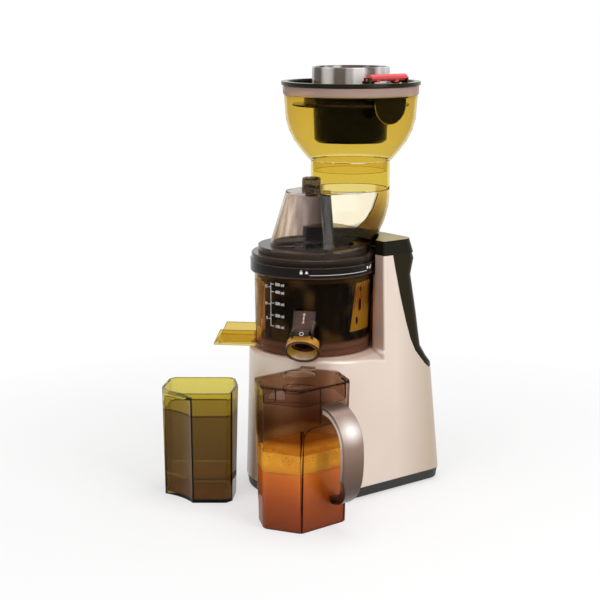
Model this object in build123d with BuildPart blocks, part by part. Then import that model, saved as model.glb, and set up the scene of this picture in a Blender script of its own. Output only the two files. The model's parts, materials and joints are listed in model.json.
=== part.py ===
"""Vertical cold press juicer with its juice jug and pulp cup, as separate solids.

Everything is drawn in one working frame, in millimetres: the drum axis is the Z axis, the table is Z = 0,
the tower stands on the +Y side and the front is the -Y side. The juice spout leaves between +X and -Y,
the pulp chute between -X and -Y. At the end every part is moved once, so that the middle of the whole
set's footprint becomes the origin.
"""

import math
import os

from build123d import *

# ---------------------------------------------------------------- driving dimensions
WALL = 3.0  # housing shell
BODY_Z0 = 14.0  # lower edge of the housing, on the black skirt
SEAT_Z = 172.0  # deck that the drum stands on
CAP_Z = 284.0  # top of the housing's tower, under the cap
CAP_H = 17.0  # height of the plate on the tower
CAP_TOP = CAP_Z + CAP_H
HALF_LOW = 86.5  # half width of the body at its lower edge
HALF_HIGH = 79.0  # half width at the top of the tower
FRONT_Y = 8.0  # centre of the half-round front
REAR_LOW = 141.0  # rear face at the lower edge
REAR_HIGH = 114.7  # the same face carried up to the tower's top
REAR_R = 25.0  # rear corner radius
TOWER_Y = 42.0  # front face of the tower
RECESS_R = 73.5  # hollow of the tower round the drum
SLOPE_R = 71.5  # the deck is flat to here and then falls away
SLOPE_END = 140.0
SLOPE_FALL = 37.0
EDGE_R = 3.0  # rounding of the shell's outer edges
RING_CLEAR_R = 76.0  # the same hollow beside the locking ring
HOLLOW_LOW = 101.5  # rear wall of the back's hollow, low
HOLLOW_HIGH = 87.0  # the same wall, high

DRUM_R = 69.2
DRUM_WALL = 2.8
DRUM_TOP = 262.0
DRUM_FLOOR = 180.5  # upper side of the drum's floor
RING_R = 74.0
RING_Z0 = 264.0
RING_Z1 = 285.0
DISC_R = 64.6
DISC_Z = 293.0

HOPPER_Y = 56.0  # hopper axis, behind the drum axis
NECK_R = 47.0
NECK_TOP = 388.0
LID_TOP = 356.0
LID_WALL = 2.6
PLUG_Y = -2.6  # the plug stands just clear of the neck
RIM_Z = 481.0
RIM_R = 82.0

JUG_H = 162.0
JUG_WALL = 3.0
CUP_H = 131.0
CUP_WALL = 2.6
VIEW_TURN = 52.5  # the pulp cup stands turned by this angle

GEAR_M = 1.0  # gearbox module
DRIVE_M = 1.25  # module of the gears under the auger


# ---------------------------------------------------------------- shared shapes
def half_width(z):
    """Half width of the drafted body at a height."""
    return HALF_LOW + (HALF_HIGH - HALF_LOW) * (z - BODY_Z0) / (CAP_Z - BODY_Z0)


def rear_face(z):
    """Y of the drafted rear face at a height."""
    return REAR_LOW + (REAR_HIGH - REAR_LOW) * (z - BODY_Z0) / (CAP_Z - BODY_Z0)


def base_outline(z, inset=0.0):
    """Plan of the body at a height: half-round front, straight sides, rounded rear corners."""
    w = half_width(z) - inset
    rear = rear_face(z) - inset
    r = REAR_R - inset
    bulge = r * (1 - math.sqrt(0.5))
    with BuildSketch() as outline:
        with BuildLine():
            ThreePointArc((-w, FRONT_Y), (0, FRONT_Y - w), (w, FRONT_Y))
            Line((w, FRONT_Y), (w, rear - r))
            ThreePointArc((w, rear - r), (w - bulge, rear - bulge), (w - r, rear))
            Line((w - r, rear), (r - w, rear))
            ThreePointArc((r - w, rear), (bulge - w, rear - bulge), (-w, rear - r))
            Line((-w, rear - r), (-w, FRONT_Y))
        make_face()
    return outline.sketch


def strip_outline(w, front, rear, r):
    """Plan of a piece that spans the tower: straight front, rounded rear corners."""
    bulge = r * (1 - math.sqrt(0.5))
    with BuildSketch() as outline:
        with BuildLine():
            Line((-w, front), (w, front))
            Line((w, front), (w, rear - r))
            ThreePointArc((w, rear - r), (w - bulge, rear - bulge), (w - r, rear))
            Line((w - r, rear), (r - w, rear))
            ThreePointArc((r - w, rear), (bulge - w, rear - bulge), (-w, rear - r))
            Line((-w, rear - r), (-w, front))
        make_face()
    return outline.sketch


def capsule(front_r, rear_y, rear_r):
    """Outline drawn tight round a circle on the drum axis and a second one behind it."""
    lean = math.asin((front_r - rear_r) / rear_y)
    fx = front_r * math.cos(lean)
    fy = front_r * math.sin(lean)
    rx = rear_r * math.cos(lean)
    ry = rear_y + rear_r * math.sin(lean)
    with BuildSketch() as outline:
        with BuildLine():
            ThreePointArc((-fx, fy), (0, -front_r), (fx, fy))
            Line((fx, fy), (rx, ry))
            ThreePointArc((rx, ry), (0, rear_y + rear_r), (-rx, ry))
            Line((-rx, ry), (-fx, fy))
        make_face()
    return outline.sketch


def gear_outline(teeth, module, phase=0.0, inward=False):
    """Straight-flanked gear outline with running backlash; phase turns tooth number one."""
    pitch = teeth * module / 2
    side = -1 if inward else 1
    root = pitch - side * 1.2 * module
    tip = pitch + side * 0.9 * module
    step = 360 / teeth
    points = []
    for tooth in range(teeth):
        for offset_part, radius in ((-0.31, root), (-0.13, tip), (0.13, tip), (0.31, root)):
            angle = math.radians(phase + (tooth + offset_part) * step)
            points.append((radius * math.cos(angle), radius * math.sin(angle)))
    with BuildSketch() as outline:
        with BuildLine():
            Polyline(*points, close=True)
        make_face()
    return outline.sketch


def spun(points, centre_y=0.0):
    """Solid of revolution about a vertical axis, from (radius, z) points."""
    with BuildPart() as body:
        with BuildSketch(Plane.XZ.offset(-centre_y)):
            with BuildLine():
                Polyline(*points, close=True)
            make_face()
        revolve(axis=Axis((0, centre_y, 0), (0, 0, 1)))
    return body.part


def tube(r_out, r_in, z0, z1, centre=(0.0, 0.0)):
    """Plain ring."""
    with BuildPart() as body:
        with BuildSketch(Plane.XY.offset(z0)):
            with Locations(centre):
                Circle(r_out)
                Circle(r_in, mode=Mode.SUBTRACT)
        extrude(amount=z1 - z0)
    return body.part


def rod(r, z0, z1, centre=(0.0, 0.0)):
    """Plain upright cylinder."""
    with BuildPart() as body:
        with BuildSketch(Plane.XY.offset(z0)):
            with Locations(centre):
                Circle(r)
        extrude(amount=z1 - z0)
    return body.part


# ---------------------------------------------------------------- housing shell
# Side view of the line between the metal shell and the black back, as (y, z).
BACK_LINE = [
    (56.0, 284.0), (60.0, 265.0), (67.0, 235.0), (75.5, 204.0), (83.0, 181.0),
    (90.0, 167.0), (98.0, 157.0), (106.5, 147.5), (114.0, 142.0), (124.0, 139.0),
]


def shell_form(inset):
    """Solid inside of the housing outline, drawn in by a wall thickness."""
    deck = SEAT_Z - inset
    low = BODY_Z0 - inset
    behind = [(y - inset, z - 0.6 * inset) for y, z in BACK_LINE]
    profile = [(-100, low), (-100, deck), (TOWER_Y + inset, deck), (TOWER_Y + inset, behind[0][1])]
    profile += behind + [(160, behind[-1][1]), (160, low)]
    with BuildPart() as slope:
        with BuildSketch(Plane.XZ):
            with BuildLine():
                Polyline((SLOPE_R, deck), (SLOPE_R, deck + 30), (SLOPE_END, deck + 30), (SLOPE_END, deck - SLOPE_FALL),
                         close=True)
            make_face()
        revolve(axis=Axis.Z)
        with Locations((0, TOWER_Y + inset - 200, 200)):
            Box(400, 400, 400, mode=Mode.INTERSECT)
    with BuildPart() as form:
        with BuildSketch(Plane.XY.offset(BODY_Z0)):
            add(base_outline(BODY_Z0, inset))
        with BuildSketch(Plane.XY.offset(CAP_Z)):
            add(base_outline(CAP_Z, inset))
        loft(ruled=True)
        if inset > 0:
            with BuildSketch(Plane.XY.offset(low)):
                add(base_outline(BODY_Z0, inset))
            extrude(amount=inset)
        with BuildSketch(Plane.YZ):
            with BuildLine():
                Polyline(*profile, close=True)
            make_face()
        extrude(amount=120, both=True, mode=Mode.INTERSECT)
        add(slope.part, mode=Mode.SUBTRACT)
        with BuildSketch(Plane.XY.offset(deck)):
            Circle(RECESS_R + inset)
        extrude(amount=140, mode=Mode.SUBTRACT)
        with BuildSketch(Plane.XY.offset(RING_Z0 - 4 - inset)):
            Circle(RING_CLEAR_R + inset)
        extrude(amount=60, mode=Mode.SUBTRACT)
    return form.part


SWITCH_X = -36.0
SWITCH_Z = 84.0
INLET_X = 34.0
INLET_Z = 44.0

def is_shell_edge(edge):
    """True for the outer edges of the sloped deck and for the upright front edges of the tower."""
    middle = edge @ 0.5
    reach = math.hypot(middle.X, middle.Y)
    slope = SEAT_Z - (reach - SLOPE_R) * SLOPE_FALL / (SLOPE_END - SLOPE_R)
    beyond = abs(middle.X) > half_width(middle.Z) - 2 or middle.Y < -SLOPE_R - 0.5
    deck_edge = abs(middle.Z - slope) < 0.3 and beyond and middle.Y < TOWER_Y - 1 and middle.Z < SEAT_Z - 0.2
    tower_edge = abs(middle.Y - TOWER_Y) < 0.01 and abs(middle.X) > half_width(middle.Z) - 2 and middle.Z > SEAT_Z
    return deck_edge or tower_edge


with BuildPart() as housing:
    add(shell_form(0.0))
    fillet(housing.edges().filter_by(is_shell_edge), EDGE_R)
    add(shell_form(WALL), mode=Mode.SUBTRACT)
    with BuildSketch(Plane.XY.offset(SEAT_Z - 10)):
        Circle(16)
    extrude(amount=20, mode=Mode.SUBTRACT)
    with Locations((SWITCH_X, rear_face(SWITCH_Z), SWITCH_Z)):
        Box(22.4, 30, 30.4, mode=Mode.SUBTRACT)
    with Locations((INLET_X, rear_face(INLET_Z), INLET_Z)):
        Box(30.4, 30, 24.4, mode=Mode.SUBTRACT)

# Black shell behind the tower: hand grip hollow under the cap, then a sweep out to the rear foot.
BACK_REAR = [(284.0, 93.0), (277.0, 95.5), (258.0, 90.5), (236.0, 94.5), (211.0, 99.0), (191.0, 102.0),
             (170.0, 105.0), (157.0, 113.0), (147.5, 120.5), (142.0, 127.0)]


def back_line_y(z):
    """Y of the line between shell and back at a height."""
    for (y1, z1), (y0, z0) in zip(BACK_LINE, BACK_LINE[1:]):
        if z0 <= z <= z1:
            return y0 + (y1 - y0) * (z - z0) / (z1 - z0)
    return BACK_LINE[-1][0]


def back_form(inset, shift):
    """Solid of the black back, drawn in by a wall thickness; shift moves its front."""
    with BuildPart() as form:
        for z, rear in BACK_REAR:
            with BuildSketch(Plane.XY.offset(z)):
                front = back_line_y(z) + 0.25 + shift
                depth = rear - inset - front
                add(strip_outline(half_width(z) - inset, front, rear - inset, min(14.0, 0.8 * depth)))
        loft(ruled=True)
    return form.part


with BuildPart() as back_hollow:
    for z, rear, r in ((SEAT_Z, HOLLOW_LOW, 6), (RING_Z0 - 10, HOLLOW_HIGH, 10)):
        with BuildSketch(Plane.XY.offset(z)):
            add(strip_outline(half_width(z) - WALL, back_line_y(z) + WALL + 0.5, rear, r))
    loft(ruled=True)

with BuildPart() as body_loft:
    with BuildSketch(Plane.XY.offset(BODY_Z0)):
        add(base_outline(BODY_Z0))
    with BuildSketch(Plane.XY.offset(CAP_Z)):
        add(base_outline(CAP_Z))
    loft(ruled=True)

with BuildPart() as back_panel:
    add(back_form(0.0, 0.0))
    add(body_loft.part, mode=Mode.INTERSECT)
    add(back_hollow.part, mode=Mode.SUBTRACT)
    with BuildSketch(Plane.XY.offset(SEAT_Z - 20)):
        Circle(RECESS_R + WALL + 0.3)
    extrude(amount=200, mode=Mode.SUBTRACT)
    with BuildSketch(Plane.XY.offset(RING_Z0 - 4 - WALL - 0.3)):
        Circle(RING_CLEAR_R + WALL + 0.3)
    extrude(amount=60, mode=Mode.SUBTRACT)

# Cap on the tower, open in front where the lid's elbow comes down.
def is_cap_corner(edge):
    """True for the two upright front edges of the top plate."""
    middle = edge @ 0.5
    return abs(middle.Y - TOWER_Y - 1) < 0.01 and abs(middle.X) > half_width(CAP_Z) - 3 and edge.length > 10


with BuildPart() as tower_cap:
    with BuildSketch(Plane.XY.offset(CAP_Z + 0.2)):
        add(strip_outline(half_width(CAP_Z), TOWER_Y, 95.0, 14))
    with BuildSketch(Plane.XY.offset(CAP_TOP)):
        add(strip_outline(half_width(CAP_Z) - 1.2, TOWER_Y + 1.0, 89.5, 14))
    loft(ruled=True)
    with BuildSketch(Plane.XY.offset(CAP_Z)):
        add(strip_outline(half_width(CAP_Z) - 4, TOWER_Y + 5, 85.5, 10))
    extrude(amount=CAP_TOP - CAP_Z - 3.5, mode=Mode.SUBTRACT)
    with BuildSketch(Plane.XY.offset(CAP_Z)):
        add(capsule(RING_CLEAR_R + 3, HOPPER_Y - 20, RING_CLEAR_R - 24.5))
    extrude(amount=CAP_TOP - CAP_Z)
    with BuildSketch(Plane.XY.offset(CAP_Z)):
        with Locations((0, TOWER_Y + 1 - 200)):
            Rectangle(400, 400)
    extrude(amount=60, mode=Mode.SUBTRACT)
    fillet(tower_cap.edges().filter_by(is_cap_corner), EDGE_R)
    with BuildSketch(Plane.XY.offset(CAP_Z - 1)):
        add(capsule(RING_CLEAR_R, HOPPER_Y - 20, RING_CLEAR_R - 26))
    extrude(amount=60, mode=Mode.SUBTRACT)

# ---------------------------------------------------------------- foot of the machine
with BuildPart() as base_skirt:
    with BuildSketch(Plane.XY.offset(2.0)):
        add(base_outline(BODY_Z0, 2.5))
    with BuildSketch(Plane.XY.offset(BODY_Z0 - 0.2)):
        add(base_outline(BODY_Z0, 0.8))
    loft(ruled=True)
    with BuildSketch(Plane.XY.offset(1.0)):
        add(base_outline(BODY_Z0, 5.5))
    extrude(amount=20, mode=Mode.SUBTRACT)

FEET = [(-52, -18), (52, -18), (-58, 112), (58, 112)]
SCREWS = [(-30, -48), (30, -48), (-30, 122), (30, 122)]

with BuildPart() as bottom_cover:
    with BuildSketch(Plane.XY.offset(2.4)):
        add(base_outline(BODY_Z0, 5.8))
        with Locations(*SCREWS):
            Circle(2.3, mode=Mode.SUBTRACT)
    extrude(amount=3.0)
    with BuildSketch(Plane.XY.offset(2.0)):
        with GridLocations(9, 90, 5, 1):
            with Locations((0, 46)):
                SlotOverall(34, 3, rotation=90)
    extrude(amount=5, mode=Mode.SUBTRACT)

with BuildPart() as rubber_feet:
    for spot in FEET:
        add(spun([(0, 0), (9.5, 0), (10.5, 1.0), (10.5, 2.3), (0, 2.3)]).moved(Location((*spot, 0))))

with BuildPart() as cover_screws:
    for spot in SCREWS:
        add(spun([(0, 1.2), (3.6, 1.2), (3.6, 2.3), (2.1, 2.3), (2.1, 12), (0, 12)]).moved(Location((*spot, 0))))

# ---------------------------------------------------------------- motor and gearbox
GEAR_D = 30 * GEAR_M  # distance between the gearbox axes

with BuildPart() as motor_cradle:
    with BuildSketch(Plane.XY.offset(20)):
        Circle(54)
        Circle(4.06, mode=Mode.SUBTRACT)
        with PolarLocations(30, 8):
            Circle(5, mode=Mode.SUBTRACT)
    extrude(amount=4)
    with BuildSketch(Plane.XY.offset(5.4)):
        with PolarLocations(44, 4, start_angle=45):
            Circle(5)
    extrude(amount=14.6)
    with BuildSketch(Plane.XY.offset(24)):
        Circle(54)
        Circle(50.2, mode=Mode.SUBTRACT)
    extrude(amount=62)
    with BuildSketch(Plane.XY.offset(26)):
        with PolarLocations(52, 12):
            Rectangle(8, 9)
    extrude(amount=50, mode=Mode.SUBTRACT)

with BuildPart() as motor_stator:
    with BuildSketch(Plane.XY.offset(32)):
        Circle(50.0)
        Circle(34.0, mode=Mode.SUBTRACT)
        with PolarLocations(38, 12):
            SlotOverall(9, 3.6, mode=Mode.SUBTRACT)
    extrude(amount=46)

with BuildPart() as motor_windings:
    for start in (28.4, 78.1):
        with BuildSketch(Plane.XY.offset(start)):
            Circle(46)
            Circle(36, mode=Mode.SUBTRACT)
        extrude(amount=3.5)

with BuildPart() as motor_rotor:
    with BuildSketch(Plane.XY.offset(16)):
        Circle(4.0)
    extrude(amount=88)
    with BuildSketch(Plane.XY.offset(33)):
        Circle(33.2)
        with PolarLocations(30, 16):
            Circle(1.4, mode=Mode.SUBTRACT)
    extrude(amount=44)
    with BuildSketch(Plane.XY.offset(95)):
        add(gear_outline(12, GEAR_M))
    extrude(amount=9)

with BuildPart() as gearbox_case:
    with BuildSketch(Plane.XY.offset(86)):
        Circle(60)
        Circle(4.06, mode=Mode.SUBTRACT)
    extrude(amount=4)
    with BuildSketch(Plane.XY.offset(90)):
        Circle(60)
        Circle(57, mode=Mode.SUBTRACT)
    extrude(amount=34)
    with BuildSketch(Plane.XY.offset(124)):
        Circle(60)
        Circle(7.04, mode=Mode.SUBTRACT)
    extrude(amount=4)
    with BuildSketch(Plane.XY.offset(90)):
        with Locations((GEAR_D, 0)):
            Circle(3.0)
    extrude(amount=34)
    with BuildSketch(Plane.XY.offset(128)):
        with PolarLocations(52, 6):
            Circle(4)
    extrude(amount=4)

with BuildPart() as gearbox_posts:
    with BuildSketch(Plane.XY.offset(5.4)):
        with PolarLocations(64, 4, start_angle=45):
            Circle(4)
    extrude(amount=80.6)
    with BuildSketch(Plane.XY.offset(86)):
        with PolarLocations(64, 4, start_angle=45):
            Circle(4)
    extrude(amount=4)

with BuildPart() as idler_gear:
    with BuildSketch(Plane.XY.offset(95.5)):
        with Locations((GEAR_D, 0)):
            add(gear_outline(48, GEAR_M, 3.75))
        with Locations((GEAR_D, 0)):
            with PolarLocations(15, 6):
                Circle(4, mode=Mode.SUBTRACT)
    extrude(amount=8)
    with BuildSketch(Plane.XY.offset(103.5)):
        with Locations((GEAR_D, 0)):
            add(gear_outline(12, GEAR_M))
    extrude(amount=15)
    with BuildSketch(Plane.XY.offset(90)):
        with Locations((GEAR_D, 0)):
            Circle(3.06)
    extrude(amount=40, mode=Mode.SUBTRACT)

with BuildPart() as output_gear:
    with BuildSketch(Plane.XY.offset(108)):
        add(gear_outline(48, GEAR_M, 3.75))
        Circle(7.0, mode=Mode.SUBTRACT)
        with PolarLocations(15.5, 6):
            Circle(4, mode=Mode.SUBTRACT)
    extrude(amount=9)

SHAFT_R = 6.98

with BuildPart() as drive_shaft:
    with BuildSketch(Plane.XY.offset(106)):
        Circle(SHAFT_R)
    extrude(amount=70)
    with BuildSketch(Plane.XY.offset(176)):
        RegularPolygon(SHAFT_R, 6)
    extrude(amount=32)
    chamfer(faces().sort_by(Axis.Z)[-1].edges(), 1.0)

with BuildPart() as shaft_bearing:
    add(tube(16.0, SHAFT_R + 0.06, SEAT_Z - 12, SEAT_Z - 1))
    add(tube(22.0, 15.0, SEAT_Z - 6, SEAT_Z - 3))

with BuildPart() as control_board:
    with Locations((0, 104, 37.4)):
        Box(86, 1.6, 64)
    with Locations((-22, 100.2, 40), (20, 101.2, 52)):
        Box(26, 6, 30)

with BuildPart() as board_capacitor:
    with BuildSketch(Plane.XZ.offset(-105)):
        with Locations((16, 40)):
            Circle(8)
    extrude(amount=-16)

# ---------------------------------------------------------------- switch and inlet on the back
with BuildPart() as switch_bezel:
    with Locations((SWITCH_X, rear_face(SWITCH_Z) - 3.4, SWITCH_Z)):
        Box(22.0, 12, 30.0)
        Box(15.0, 14, 22.0, mode=Mode.SUBTRACT)
    with Locations((SWITCH_X, rear_face(SWITCH_Z) + 2.6, SWITCH_Z)):
        Box(25.0, 1.4, 33.0)
        Box(15.0, 14, 22.0, mode=Mode.SUBTRACT)
    with Locations((SWITCH_X, rear_face(SWITCH_Z) - 10.2, SWITCH_Z)):
        Box(22.0, 1.6, 30.0)

ROCKER_Y = rear_face(SWITCH_Z) - 1.5
with BuildPart() as switch_rocker:
    with BuildSketch(Plane.YZ.offset(SWITCH_X - 7.2)):
        with BuildLine():
            Polyline((ROCKER_Y - 3.5, SWITCH_Z - 6), (ROCKER_Y + 3.0, SWITCH_Z - 9.6),
                     (ROCKER_Y + 5.6, SWITCH_Z - 9.2), (ROCKER_Y + 3.6, SWITCH_Z),
                     (ROCKER_Y + 5.6, SWITCH_Z + 9.2), (ROCKER_Y + 3.0, SWITCH_Z + 9.6),
                     (ROCKER_Y - 3.5, SWITCH_Z + 6), close=True)
        make_face()
        with Locations((ROCKER_Y, SWITCH_Z)):
            Circle(1.56, mode=Mode.SUBTRACT)
    extrude(amount=14.4)

with BuildPart() as rocker_pin:
    with BuildSketch(Plane.YZ.offset(SWITCH_X - 7.5)):
        with Locations((ROCKER_Y, SWITCH_Z)):
            Circle(1.5)
    extrude(amount=15.0)

with BuildPart() as power_inlet:
    with Locations((INLET_X, rear_face(INLET_Z) - 7, INLET_Z)):
        Box(30, 20, 24)
    with Locations((INLET_X, rear_face(INLET_Z) + 2.4, INLET_Z)):
        Box(34, 1.6, 28)
    with Locations((INLET_X, rear_face(INLET_Z) - 5, INLET_Z)):
        Box(25, 18, 17, mode=Mode.SUBTRACT)

with BuildPart() as inlet_pins:
    with Locations((INLET_X - 7, rear_face(INLET_Z) - 8, INLET_Z - 2), (INLET_X, rear_face(INLET_Z) - 8, INLET_Z + 2),
                   (INLET_X + 7, rear_face(INLET_Z) - 8, INLET_Z - 2)):
        Box(2, 12, 4)

# ---------------------------------------------------------------- drum with its two outlets
SPOUT_MID = (100.0, 185.5)  # centre of the spout's mouth, as (distance from the drum axis, z)
SPOUT_DIP = 42.0  # the mouth looks this far below level
SPOUT_R = 20.0
CHUTE_W = 46.0
CHUTE_END = 108.0
CHUTE_TOP = 191.0


def spout_core(r, start, extra):
    """Round branch from the drum to the spout's mouth; extra runs past the mouth."""
    dip = math.radians(SPOUT_DIP)
    tip = (SPOUT_MID[0] + extra * math.cos(dip), 0, SPOUT_MID[1] - extra * math.sin(dip))
    with BuildPart() as core:
        with BuildSketch(Plane(origin=(start, 0, 198.2), x_dir=(0, 1, 0), z_dir=(1, 0, 0))):
            Circle(r)
        with BuildSketch(Plane(origin=(79, 0, 192.6), x_dir=(0, 1, 0), z_dir=(math.cos(dip / 3), 0, -math.sin(dip / 3)))):
            Circle(r)
        with BuildSketch(Plane(origin=tip, x_dir=(0, 1, 0), z_dir=(math.cos(dip), 0, -math.sin(dip)))):
            Circle(r)
        loft()
    return core.part


def chute_core(width, floor, top, reach):
    """Channel from the drum outward; its end slants so that the floor is longest."""
    with BuildPart() as core:
        with BuildSketch(Plane.XZ):
            with BuildLine():
                Polyline((50, floor), (reach + 8, floor), (reach + 8, floor + 1.5), (reach, top), (50, top), close=True)
            make_face()
        extrude(amount=width / 2, both=True)
    return core.part


with BuildPart() as drum_wall:
    add(spun([(0, DRUM_FLOOR - 3), (62, DRUM_FLOOR - 3), (62, SEAT_Z + 0.3), (68.4, SEAT_Z + 0.3),
              (DRUM_R, DRUM_TOP), (0, DRUM_TOP)]))

with BuildPart() as drum_bore:
    add(spun([(11, DRUM_FLOOR - 20), (11, DRUM_FLOOR), (68.4 - DRUM_WALL, DRUM_FLOOR),
              (DRUM_R - DRUM_WALL, DRUM_TOP + 5), (0, DRUM_TOP + 5), (0, DRUM_FLOOR - 20)]))

TURN_SPOUT = Location((0, 0, 0), (0, 0, -45))
TURN_CHUTE = Location((0, 0, 0), (0, 0, -135))

with BuildPart() as drum:
    add(drum_wall.part)
    add(spout_core(SPOUT_R, 50, 0).moved(TURN_SPOUT))
    add(chute_core(CHUTE_W, SEAT_Z + 0.5, CHUTE_TOP, CHUTE_END).moved(TURN_CHUTE))
    add(drum_bore.part, mode=Mode.SUBTRACT)
    add(spout_core(SPOUT_R - 2.6, 50, 8).moved(TURN_SPOUT), mode=Mode.SUBTRACT)
    add(chute_core(CHUTE_W - 5, DRUM_FLOOR - 4.5, CHUTE_TOP + 7, CHUTE_END + 10).moved(TURN_CHUTE), mode=Mode.SUBTRACT)
    with Locations(Location((0, 0, 0), (0, 0, 135))):
        with Locations((48, 0, DRUM_FLOOR)):
            Box(14.4, 22.4, 20, mode=Mode.SUBTRACT)

with BuildPart() as drum_seal:
    add(spun([(SHAFT_R + 0.3, 177.0), (10.98, 177.0), (10.98, DRUM_FLOOR), (13.0, DRUM_FLOOR), (13.0, 181.4),
              (SHAFT_R + 0.3, 181.4)]))

# Sloping guide on top of the spout and the gate that slides down it, drawn as (distance, z).
GUIDE_DIP = 38.0
GATE_TRAVEL = 6
GUIDE_TOP = [(69.6, 229.0), (71.5, 229.0), (98.0, 207.8), (102.5, 201.0), (102.5, 190.0), (69.6, 190.0)]

with BuildPart() as guide_block:
    with BuildSketch(Plane.XZ):
        with BuildLine():
            Polyline(*GUIDE_TOP, close=True)
        make_face()
    extrude(amount=12.5, both=True)
    with Locations(Location((91.6, 0, 213.2), (0, GUIDE_DIP, 0))):
        Box(64, 19.0, 6.0, mode=Mode.SUBTRACT)
    add(spout_core(SPOUT_R + 0.3, 50, 3), mode=Mode.SUBTRACT)
    with BuildSketch(Plane.XY.offset(150)):
        Circle(DRUM_R + 0.35)
    extrude(amount=100, mode=Mode.SUBTRACT)

with BuildPart() as gate_block:
    with Locations(Location((85.9, 0, 218.25), (0, GUIDE_DIP, 0))):
        Box(26, 18.4, 4.4)
    with Locations(Location((96.4, 0, 211.3), (0, GUIDE_DIP, 0))):
        Cylinder(3.6, 4.4)
    for step in range(0, GATE_TRAVEL + 3, 2):
        slid = (-step * math.cos(math.radians(GUIDE_DIP)), 0, step * math.sin(math.radians(GUIDE_DIP)))
        add(spout_core(SPOUT_R + 0.25, 50, 3).moved(Location(slid)), mode=Mode.SUBTRACT)
    with BuildSketch(Plane.XY.offset(150)):
        Circle(DRUM_R + 0.35)
    extrude(amount=100, mode=Mode.SUBTRACT)

with BuildPart() as spout_rail:
    add(guide_block.part.moved(TURN_SPOUT))

with BuildPart() as spout_gate:
    add(gate_block.part.moved(TURN_SPOUT))

with BuildPart() as pulp_plug:
    with Locations(Location((0, 0, 0), (0, 0, 135))):
        with Locations((48, 0, DRUM_FLOOR - 1.5)):
            Box(14, 22, 2.9)

# ---------------------------------------------------------------- what turns inside the drum
PLANET_X = DRIVE_M * (24 + 16) / 2  # distance of the planet gear's post from the drum axis
GEAR_Z0 = 182.0
GEAR_Z1 = 186.0

with BuildPart() as planet_post:
    add(rod(3.0, DRUM_FLOOR, GEAR_Z1 + 1.0, (PLANET_X, 0)))

with BuildPart() as planet_gear:
    with BuildSketch(Plane.XY.offset(GEAR_Z0)):
        with Locations((PLANET_X, 0)):
            add(gear_outline(16, DRIVE_M, 180 + 11.25))
            Circle(3.06, mode=Mode.SUBTRACT)
    extrude(amount=GEAR_Z1 - GEAR_Z0)

with BuildPart() as brush_holder:
    with BuildSketch(Plane.XY.offset(GEAR_Z0)):
        Circle(61.5)
        add(gear_outline(56, DRIVE_M, 0.0, inward=True), mode=Mode.SUBTRACT)
    extrude(amount=GEAR_Z1 - GEAR_Z0)
    for turn in (30, 150, 270):
        with BuildSketch(Plane.XY.offset(GEAR_Z1)):
            Circle(61.5)
            Circle(56.5, mode=Mode.SUBTRACT)
            with Locations(Location((0, 0, 0), (0, 0, turn))):
                with Locations((60, 0)):
                    Rectangle(30, 26, mode=Mode.INTERSECT)
        extrude(amount=68)
    with BuildSketch(Plane.XY.offset(251)):
        Circle(61.5)
        Circle(56.5, mode=Mode.SUBTRACT)
    extrude(amount=5)
    for turn in (30, 150, 270):
        with Locations(Location((0, 0, 0), (0, 0, turn))):
            with Locations((59, 0, 219)):
                Box(12, 2.5, 61, mode=Mode.SUBTRACT)

with BuildPart() as brush_blades:
    for turn in (30, 150, 270):
        with Locations(Location((0, 0, 0), (0, 0, turn))):
            with Locations((58.3, 0, 219)):
                Box(13.4, 2.4, 60)
            with Locations((54.8, 0, 219)):
                Box(2.6, 6, 60)

with BuildPart() as strainer:
    add(spun([(16, 187.6), (51, 187.6), (51, 256.6), (55.8, 256.6), (55.8, 258.4), (49.0, 258.4),
              (49.0, 189.6), (16, 189.6)]))
    for low_z, high_z in ((194, 220), (226, 252)):
        with BuildSketch(Plane.XY.offset(low_z)):
            with PolarLocations(50, 18):
                Rectangle(8, 7.0)
        extrude(amount=high_z - low_z, mode=Mode.SUBTRACT)

with BuildPart() as strainer_mesh:
    add(tube(48.9, 48.3, 189.8, 256))

AUGER_Z0 = 190.2
AUGER_Z1 = 276.0

with BuildPart() as auger_form:
    add(spun([(0, AUGER_Z0), (46.5, AUGER_Z0), (47.0, 252), (42, AUGER_Z1), (0, AUGER_Z1)]))

with BuildSketch() as flight_plan:
    Circle(17)
    with PolarLocations(0, 2):
        with Locations((29, 0)):
            Ellipse(20, 6.5)

FLIGHTS = Solid.extrude_linear_with_rotation(
    flight_plan.face().moved(Location((0, 0, AUGER_Z0))), (0, 0, AUGER_Z0), (0, 0, AUGER_Z1 - AUGER_Z0), 330)

with BuildPart() as auger:
    add(FLIGHTS)
    add(auger_form.part, mode=Mode.INTERSECT)
    add(spun([(0, AUGER_Z0), (30, AUGER_Z0), (14, AUGER_Z1 + 4), (0, AUGER_Z1 + 4)]))
    add(rod(12.5, GEAR_Z1, AUGER_Z0 + 1))
    with BuildSketch(Plane.XY.offset(GEAR_Z0 + 3.2)):
        Circle(13.5)
    extrude(amount=0.8)
    with BuildSketch(Plane.XY.offset(GEAR_Z0)):
        add(gear_outline(24, DRIVE_M, 0.0))
    extrude(amount=GEAR_Z1 - GEAR_Z0)
    add(rod(6.0, AUGER_Z1, AUGER_Z1 + 16))
    with BuildSketch(Plane.XY.offset(GEAR_Z0 - 1)):
        RegularPolygon(SHAFT_R + 0.15, 6)
    extrude(amount=28, mode=Mode.SUBTRACT)

# ---------------------------------------------------------------- lid, ring and plug
LID_STEPS = (DISC_Z, 299.0, 306.0, 314.0, 323.0, 334.0, 345.0, LID_TOP)


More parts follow.
